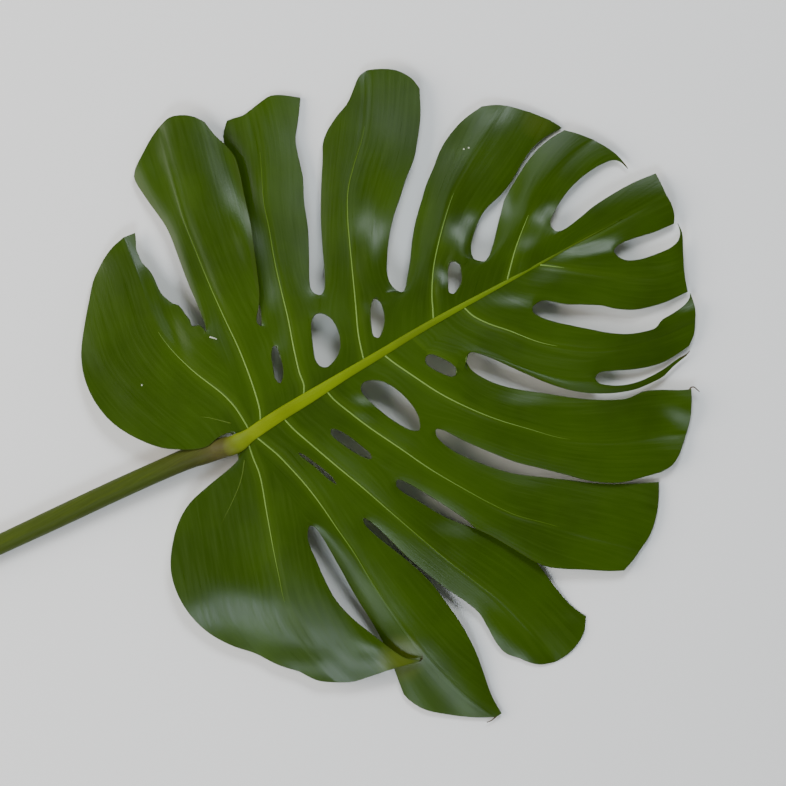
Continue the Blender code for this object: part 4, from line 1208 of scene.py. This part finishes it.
@dataclass
class Stalk:
    """The petiole, its thick joint at the notch and the midrib on the blade; sizes in millimetres.

    The widths and heights of rib and keel are shares of the midrib's width. The keel's first row gives
    x, y, z, half its width and half its height at the notch.
    """

    sides: int = 32
    steps: int = 8
    rib_width: float = 0.46
    rib_height: float = 0.11
    rib_lift: float = 0.02
    rib_least: float = 0.12
    keel_width: float = 0.40
    keel_height: float = 0.17
    keel_drop: float = 1.9
    keel_least: float = 0.3
    keel_root: tuple[float, ...] = (-1.0, -1.8, 19.2, 3.4, 1.2)
    bed_from: float = 20.0

    def laid(self, tree: BVHTree) -> list[tuple[float, ...]]:
        """The rows of the midrib with the height of the blade's upper face under each."""
        rows = []
        for x, y, width, height in MIDRIB:
            rows.append((x, y, width, under(tree, (x, y), height) if x > self.bed_from else height))
        return rows

    def course(self, tree: BVHTree) -> np.ndarray:
        """Middle, half width and half height of the stalk from its cut end to the midrib's end."""
        rows = [tuple(row) for row in STALK]
        for x, y, width, height in self.laid(tree)[1:-1]:
            half_height = self.rib_height * width + self.rib_least
            rows.append((x, y, height + self.rib_lift * width, self.rib_width * width, half_height))
        return dense(rows, steps=self.steps)[0]

    def ring(self, row: np.ndarray, along: np.ndarray) -> list[Vector]:
        """One section of the stalk, square to its course, and no lower than the surface under it."""
        forward = Vector(along).normalized()
        across = Vector((0, 0, 1)).cross(forward).normalized()
        up = forward.cross(across)
        points = []
        for i in range(self.sides):
            angle = 2 * math.pi * i / self.sides - math.pi / 2
            spot = Vector(row[:3]) + across * row[3] * math.cos(angle) + up * row[4] * math.sin(angle)
            spot.z = max(spot.z, 0.0)
            points.append(placed(spot))
        return points

    def tube(self, rows: np.ndarray, name: str, material: Material) -> bpy.types.Object:
        """Sweeps rows of middle, half width and half height into a piece with its place along the leaf."""
        bm = bmesh.new()
        along = bm.verts.layers.float.new("along")
        ahead = np.gradient(rows[:, :3], axis=0)
        loops = sweep(bm, [self.ring(row, step) for row, step in zip(rows, ahead)])
        for row, loop in zip(rows, loops):
            for vert in loop:
                vert[along] = row[0]
        return piece_of(bm, name, [material])

    def build(self, tree: BVHTree, material: Material) -> bpy.types.Object:
        """Builds the stalk, with the midrib laid on the blade, and stands it in for its node."""
        piece = self.tube(self.course(tree), "leaf_stalk", material)
        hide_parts("stalk")
        return piece

    def build_keel(self, tree: BVHTree, material: Material) -> bpy.types.Object:
        """Builds the round rib under the midrib."""
        rows = [self.keel_root]
        for x, y, width, height in self.laid(tree)[1:]:
            half_height = self.keel_height * width + self.keel_least
            rows.append((x, y, height - self.keel_drop, self.keel_width * width, half_height))
        return self.tube(dense(rows, steps=self.steps)[0], "leaf_keel", material)


@dataclass
class SideVeins:
    """The fine pale veins on the upper side and the ribs under them; sizes in millimetres.

    The offsets are shares of the radius that a strand stands higher than the face it lies on. The ends
    are the shares of each vein's way that can be seen, half by half, and the ribs run on for a share more.
    """

    radius: float = 0.58
    tip_radius: float = 0.1
    offset: float = -0.35
    rib_radius: float = 1.05
    rib_tip_radius: float = 0.3
    rib_offset: float = 0.4
    rib_more: float = 0.12
    thinning: float = 0.8
    least_steps: int = 6
    left_ends: tuple[float, ...] = (0.57, 0.78, 0.85, 0.80, 0.55, 0.40)
    right_ends: tuple[float, ...] = (0.62, 0.60, 0.76, 0.77, 0.64, 0.42, 0.16)

    def strand(self, name: str, lines: list[np.ndarray], material: Material) -> bpy.types.Object:
        """Makes round strands from lines of x, y, z and radius and joins them in one piece."""
        curve = bpy.data.curves.new(name, "CURVE")
        curve.dimensions = "3D"
        curve.bevel_depth = MM
        curve.bevel_resolution = 2
        curve.use_fill_caps = True
        for line in lines:
            spline = curve.splines.new("POLY")
            spline.points.add(len(line) - 1)
            for point, row in zip(spline.points, line):
                point.co = (*placed(row), 1.0)
                point.radius = float(row[3])
        holder = bpy.data.objects.new(name, curve)
        bpy.context.scene.collection.objects.link(holder)
        graph = bpy.context.evaluated_depsgraph_get()
        bm = bmesh.new()
        bm.from_mesh(holder.evaluated_get(graph).to_mesh())
        bpy.data.objects.remove(holder, do_unlink=True)
        bmesh.ops.remove_doubles(bm, verts=bm.verts[:], dist=0.001 * MM)
        bmesh.ops.recalc_face_normals(bm, faces=bm.faces[:])
        return piece_of(bm, name, [material])

    def rows(self, ray: Ray, end: float, tree: BVHTree, up: bool) -> np.ndarray:
        """One vein's strand on the blade's upper side or lower side, thinning to its end."""
        count = max(self.least_steps, round(end * ROWS))
        s = np.arange(count + 1) / count
        start, tip, offset = self.rib_radius, self.rib_tip_radius, self.rib_offset
        if up:
            start, tip, offset = self.radius, self.tip_radius, self.offset
        radius = tip + (start - tip) * (1 - s) ** self.thinning
        plan = ray.lines[0][: count + 1]
        heights = [under(tree, spot, lamina, up) for spot, lamina in zip(plan, ray.high[0])]
        return np.column_stack([plan, np.array(heights) + offset * radius, radius])

    def build(self, blade: Blade, tree: BVHTree, above: Material, beneath: Material) -> None:
        """Builds the veins above and the ribs beneath.

        Args:
            blade: The lamina, for the veins' courses.
            tree: The dressed blade's faces.
            above: The finish of the veins.
            beneath: The finish of the ribs.
        """
        veins, ribs = [], []
        halves = ((LEFT, Half.LEFT, self.left_ends), (RIGHT, Half.RIGHT, self.right_ends))
        for table, half, ends in halves:
            rays = [ray for ray in blade.rays(table, half) if isinstance(ray.source, Vein)]
            for ray, end in zip(rays, ends):
                veins.append(self.rows(ray, end, tree, True))
                ribs.append(self.rows(ray, min(1.0, end + self.rib_more), tree, False))
        self.strand("leaf_side_veins", veins, above)
        self.strand("leaf_under_ribs", ribs, beneath)


@dataclass
class Touches:
    """The small marks of a picked leaf: second veins, dry hooks at the tips, specks and a tear, whose pale
    strand is painted light where the lit floor shows through the gap.
    """

    second: tuple = (
        ((-0.7, 10.7), (-5.7, 15.7), (-10.7, 20.4), (-15.7, 24.3)),
        ((-5, -12.9), (-10, -19.3), (-15, -24.3), (-21.4, -29.3), (-28.6, -34.3), (-38.6, -40.7)),
    )
    hooks: tuple = (
        ((26.4, -175.3), (28.6, -174.6), (29.6, -172.9), (30, -170.9)),
        ((50.3, -229), (47, -229.7), (43.5, -229.4)),
        ((255.6, -113.2), (257.4, -112.5), (258.9, -113.2), (259.8, -115.5), (260.4, -117.5)),
        ((260.5, -93.4), (265.4, -93.3), (268, -92.4)),
        ((290.4, 30), (291, 27), (291.2, 24.8)),
    )
    specks: tuple[Plan, ...] = ((209, 86), (212, 85.2), (-37, 59))
    speck_radius: float = 0.55
    tear: tuple[Plan, ...] = ((14.4, 63.8), (15.8, 62.4), (17.6, 60.3))
    guess: float = 4.0

    def lines(self, tree: BVHTree, paths: Sequence, start: float, tip: float, lift: float) -> list:
        """Lays paths on the blade, each with its radius from the start to the tip and its lift."""
        found = []
        for path in paths:
            plan = dense(path, steps=6)[0]
            heights = []
            for spot in plan:
                heights.append(under(tree, spot, heights[-1] if heights else self.guess))
            s = np.linspace(0, 1, len(plan))
            found.append(np.column_stack([plan, np.array(heights) + lift, start + (tip - start) * s]))
        return found

    def build(self, tree: BVHTree, veins: SideVeins, skins: Sequence[Material]) -> None:
        """Builds every mark on the blade.

        Args:
            tree: The dressed blade's faces.
            veins: The side veins, which make the strands.
            skins: The finishes of the pale specks and of the tear, whose near-white colour is painted light
                from the floor seen through the gap, of faint veins and of dry tips.
        """
        pale, faint, dry = skins
        second = self.lines(tree, self.second, start=0.42, tip=0.14, lift=-0.14)
        veins.strand("leaf_second_veins", second, faint)
        hooks = self.lines(tree, self.hooks, start=0.5, tip=0.26, lift=-0.3)
        veins.strand("leaf_dry_hooks", hooks, dry)
        # the tear is drawn as a near-white strand: painted light where the lit floor shows through the torn
        # gap
        tear = self.lines(tree, (self.tear,), start=0.6, tip=0.3, lift=0.1)
        veins.strand("leaf_tear_painted_lit_gap", tear, pale)
        bm = bmesh.new()
        for spot in self.specks:
            radius = self.speck_radius * MM
            made = bmesh.ops.create_uvsphere(bm, u_segments=12, v_segments=8, radius=radius)["verts"]
            bmesh.ops.scale(bm, vec=(1, 1, 0.4), verts=made)
            bmesh.ops.translate(bm, vec=placed((*spot, under(tree, spot, self.guess))), verts=made)
        piece_of(bm, "leaf_specks", [pale])


@dataclass(frozen=True)
class StalkFinish(Tissue):
    """The stalk's tissue, whose colour changes along it: the stops give x in millimetres and a colour."""

    end: float = 304.0
    stops: tuple = (
        (-262, rgb(54, 66, 10)),
        (-60, rgb(58, 70, 12)),
        (-32, rgb(62, 64, 22)),
        (-16, rgb(72, 66, 32)),
        (-10, rgb(68, 64, 26)),
        (-3, rgb(112, 124, 24)),
        (12, rgb(114, 128, 2)),
        (60, rgb(106, 124, 0)),
        (120, rgb(104, 124, 0)),
        (190, rgb(92, 114, 4)),
        (235, rgb(66, 88, 2)),
        (262, rgb(48, 70, 0)),
    )

    def dress(self, grain: Grain, stretch: tuple[float, float]) -> Material:
        """Builds the material: a ramp along the stalk, streaked lengthwise."""
        material, tree, shader = self.fresh()
        low = self.stops[0][0]
        whole = self.end - low
        along = tree.math("DIVIDE", tree.math("SUBTRACT", tree.attribute("along"), low), whole)
        colour = tree.ramp(along, [((x - low) / whole, shade) for x, shade in self.stops])
        node = grain.on(tree, tree.add("TexCoord").outputs["Object"], *stretch)
        darker = tree.mix(tree.span(node.outputs["Mottle"], 0.35, 0.7, 0.0, 0.35), colour, self.dark)
        self.close(tree, shader, self.streaked(tree, node, darker, 0.4), node)
        return material


@dataclass(frozen=True)
class Lamp:
    """A soft square light; angles in degrees, its distance and size in metres."""

    name: str
    azimuth: float
    elevation: float
    away: float
    size: float
    watts: float
    colour: tuple[float, float, float]

    def build(self, aim: Vector) -> None:
        """Hangs the light so that it points at a place."""
        light = bpy.data.lights.new(self.name, "AREA")
        light.shape = "SQUARE"
        light.size = self.size
        light.energy = self.watts
        light.color = self.colour
        holder = bpy.data.objects.new(self.name, light)
        bpy.context.scene.collection.objects.link(holder)
        a, e = math.radians(self.azimuth), math.radians(self.elevation)
        toward = Vector((math.cos(a) * math.cos(e), math.sin(a) * math.cos(e), math.sin(e)))
        holder.location = aim + self.away * toward
        holder.rotation_euler = (-self.away * toward).to_track_quat("-Z", "Y").to_euler()


@dataclass
class Studio:
    """The floor, the lights and the camera that looks straight down on the leaf; sizes in metres."""

    middle: Plan = (95.3, -23.0)
    turn: float = -30.0
    height: float = 5.0
    frame_width: float = 0.4873
    frame_level: float = 0.012
    aim_height: float = 20.0
    floor_size: float = 4.0
    floor_drop: float = 0.0002
    sensor: float = 36.0
    walls: float = 0.7
    ceiling: float = 0.1
    lamps: tuple[Lamp, ...] = (
        Lamp("key", 50.0, 52.0, 1.8, 0.6, 21.0, (0.84, 0.93, 1.0)),
        Lamp("window", 228.0, 50.0, 1.8, 0.6, 15.0, (0.78, 0.9, 1.0)),
        Lamp("side light", 150.0, 31.0, 2.0, 1.6, 45.0, (1.0, 0.95, 0.9)),
    )

    def build(self) -> None:
        """Builds all of it."""
        self.build_floor()
        for lamp in self.lamps:
            lamp.build(placed((*self.middle, self.aim_height)))
        self.build_world()
        self.build_camera()

    def build_floor(self) -> None:
        """A plain pale floor just under the leaf."""
        bm = bmesh.new()
        bmesh.ops.create_grid(bm, x_segments=1, y_segments=1, size=self.floor_size)
        bmesh.ops.translate(bm, vec=(0, 0, -self.floor_drop), verts=bm.verts[:])
        mesh = bpy.data.meshes.new("floor")
        bm.to_mesh(mesh)
        bm.free()
        material = bpy.data.materials.new("Pale board")
        material.use_nodes = True
        shader = material.node_tree.nodes["Principled BSDF"]
        shader.inputs["Base Color"].default_value = rgb(236, 232, 228)
        shader.inputs["Roughness"].default_value = 0.6
        mesh.materials.append(material)
        floor = bpy.data.objects.new("floor", mesh)
        bpy.context.scene.collection.objects.link(floor)

    def build_world(self) -> None:
        """Bright walls all round under a dim ceiling."""
        world = bpy.data.worlds.new("sky")
        world.use_nodes = True
        tree = Tree(world.node_tree)
        shade = world.node_tree.nodes["Background"]
        shade.inputs["Color"].default_value = (0.90, 0.94, 1.0, 1.0)
        axes = tree.add("SeparateXYZ", {0: tree.add("TexCoord").outputs["Generated"]})
        tree.feed(shade.inputs["Strength"], tree.span(axes.outputs["Z"], 0.3, 0.8, self.walls, self.ceiling))
        bpy.context.scene.world = world

    def build_camera(self) -> None:
        """The camera, turned in its own plane as the photograph is."""
        camera = bpy.data.cameras.new("camera")
        camera.sensor_width = self.sensor
        camera.lens = self.sensor * (self.height - self.frame_level) / self.frame_width
        holder = bpy.data.objects.new("camera", camera)
        bpy.context.scene.collection.objects.link(holder)
        holder.location = placed((*self.middle, self.height / MM))
        holder.rotation_euler = (0.0, 0.0, math.radians(self.turn))
        bpy.context.scene.camera = holder


def main() -> None:
    """Builds the leaf, dresses it and stands it in the studio."""
    logging.basicConfig(level=logging.INFO, format="%(message)s")
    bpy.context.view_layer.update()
    grain = Grain()
    green = Tissue("Leaf upper side", rgb(38, 58, 0), rgb(48, 71, 0), rgb(72, 96, 8),
                   roughness=0.32, streaks=0.1, relief=0.14, shine=0.24)
    under_skin = Tissue("Leaf underside", rgb(88, 112, 50), rgb(104, 128, 62), rgb(126, 148, 84),
                        roughness=0.6, streaks=0.3, relief=0.6)
    rim = Tissue("Leaf rim", rgb(46, 66, 8), rgb(58, 78, 14), rgb(80, 98, 30),
                 roughness=0.5, streaks=0.2, relief=0.2, shine=0.1)
    vein = Tissue("Side vein", rgb(104, 130, 52), rgb(118, 144, 64), rgb(146, 164, 80),
                  roughness=0.5, streaks=0.2, relief=0.1)
    rib = Tissue("Under rib", rgb(112, 130, 60), rgb(128, 146, 72), rgb(150, 164, 96),
                 roughness=0.5, streaks=0.3, relief=0.3)
    faint = Tissue("Faint vein", rgb(66, 86, 10), rgb(76, 96, 16), rgb(90, 108, 30),
                   roughness=0.5, streaks=0.2, relief=0.1)
    # pale specks, and the tear's near-white strand, which is painted light from the floor seen through the
    # torn gap
    specks_and_lit_gap = Tissue("Pale specks and painted lit gap", rgb(176, 180, 150), rgb(196, 198, 176), rgb(206, 208, 190),
                  roughness=0.6, streaks=0.2, relief=0.1)
    dry = Tissue("Dry tip", rgb(52, 36, 16), rgb(70, 50, 24), rgb(96, 74, 40),
                 roughness=0.7, streaks=0.3, relief=0.3)
    stalk_skin = StalkFinish("Stalk skin", rgb(48, 56, 6), rgb(74, 88, 30), rgb(116, 128, 22),
                             roughness=0.5, streaks=0.1, relief=0.25, shine=0.12)
    fine, lamina, lengthwise = (60.0, 600.0), (24.0, 480.0), (30.0, 900.0)
    rib_skin = rib.plain(grain, fine)
    vein_skin = vein.fading(grain, fine, rgb(74, 100, 10))
    blade = Blade()
    faces = {Face.UPPER: green.lamina(grain, lamina), Face.UNDER: under_skin.lamina(grain, lamina)}
    faces[Face.RIM] = rim.plain(grain, fine)
    body = blade.build([faces[face] for face in Face])
    tree = BVHTree.FromObject(body, bpy.context.evaluated_depsgraph_get())
    stalk = Stalk()
    stalk.build(tree, stalk_skin.dress(grain, lengthwise))
    stalk.build_keel(tree, rib_skin)
    veins = SideVeins()
    veins.build(blade, tree, vein_skin, rib_skin)
    Touches().build(tree, veins, [tissue.plain(grain, fine) for tissue in (specks_and_lit_gap, faint, dry)])
    Studio().build()


if __name__ == "__main__":
    main()
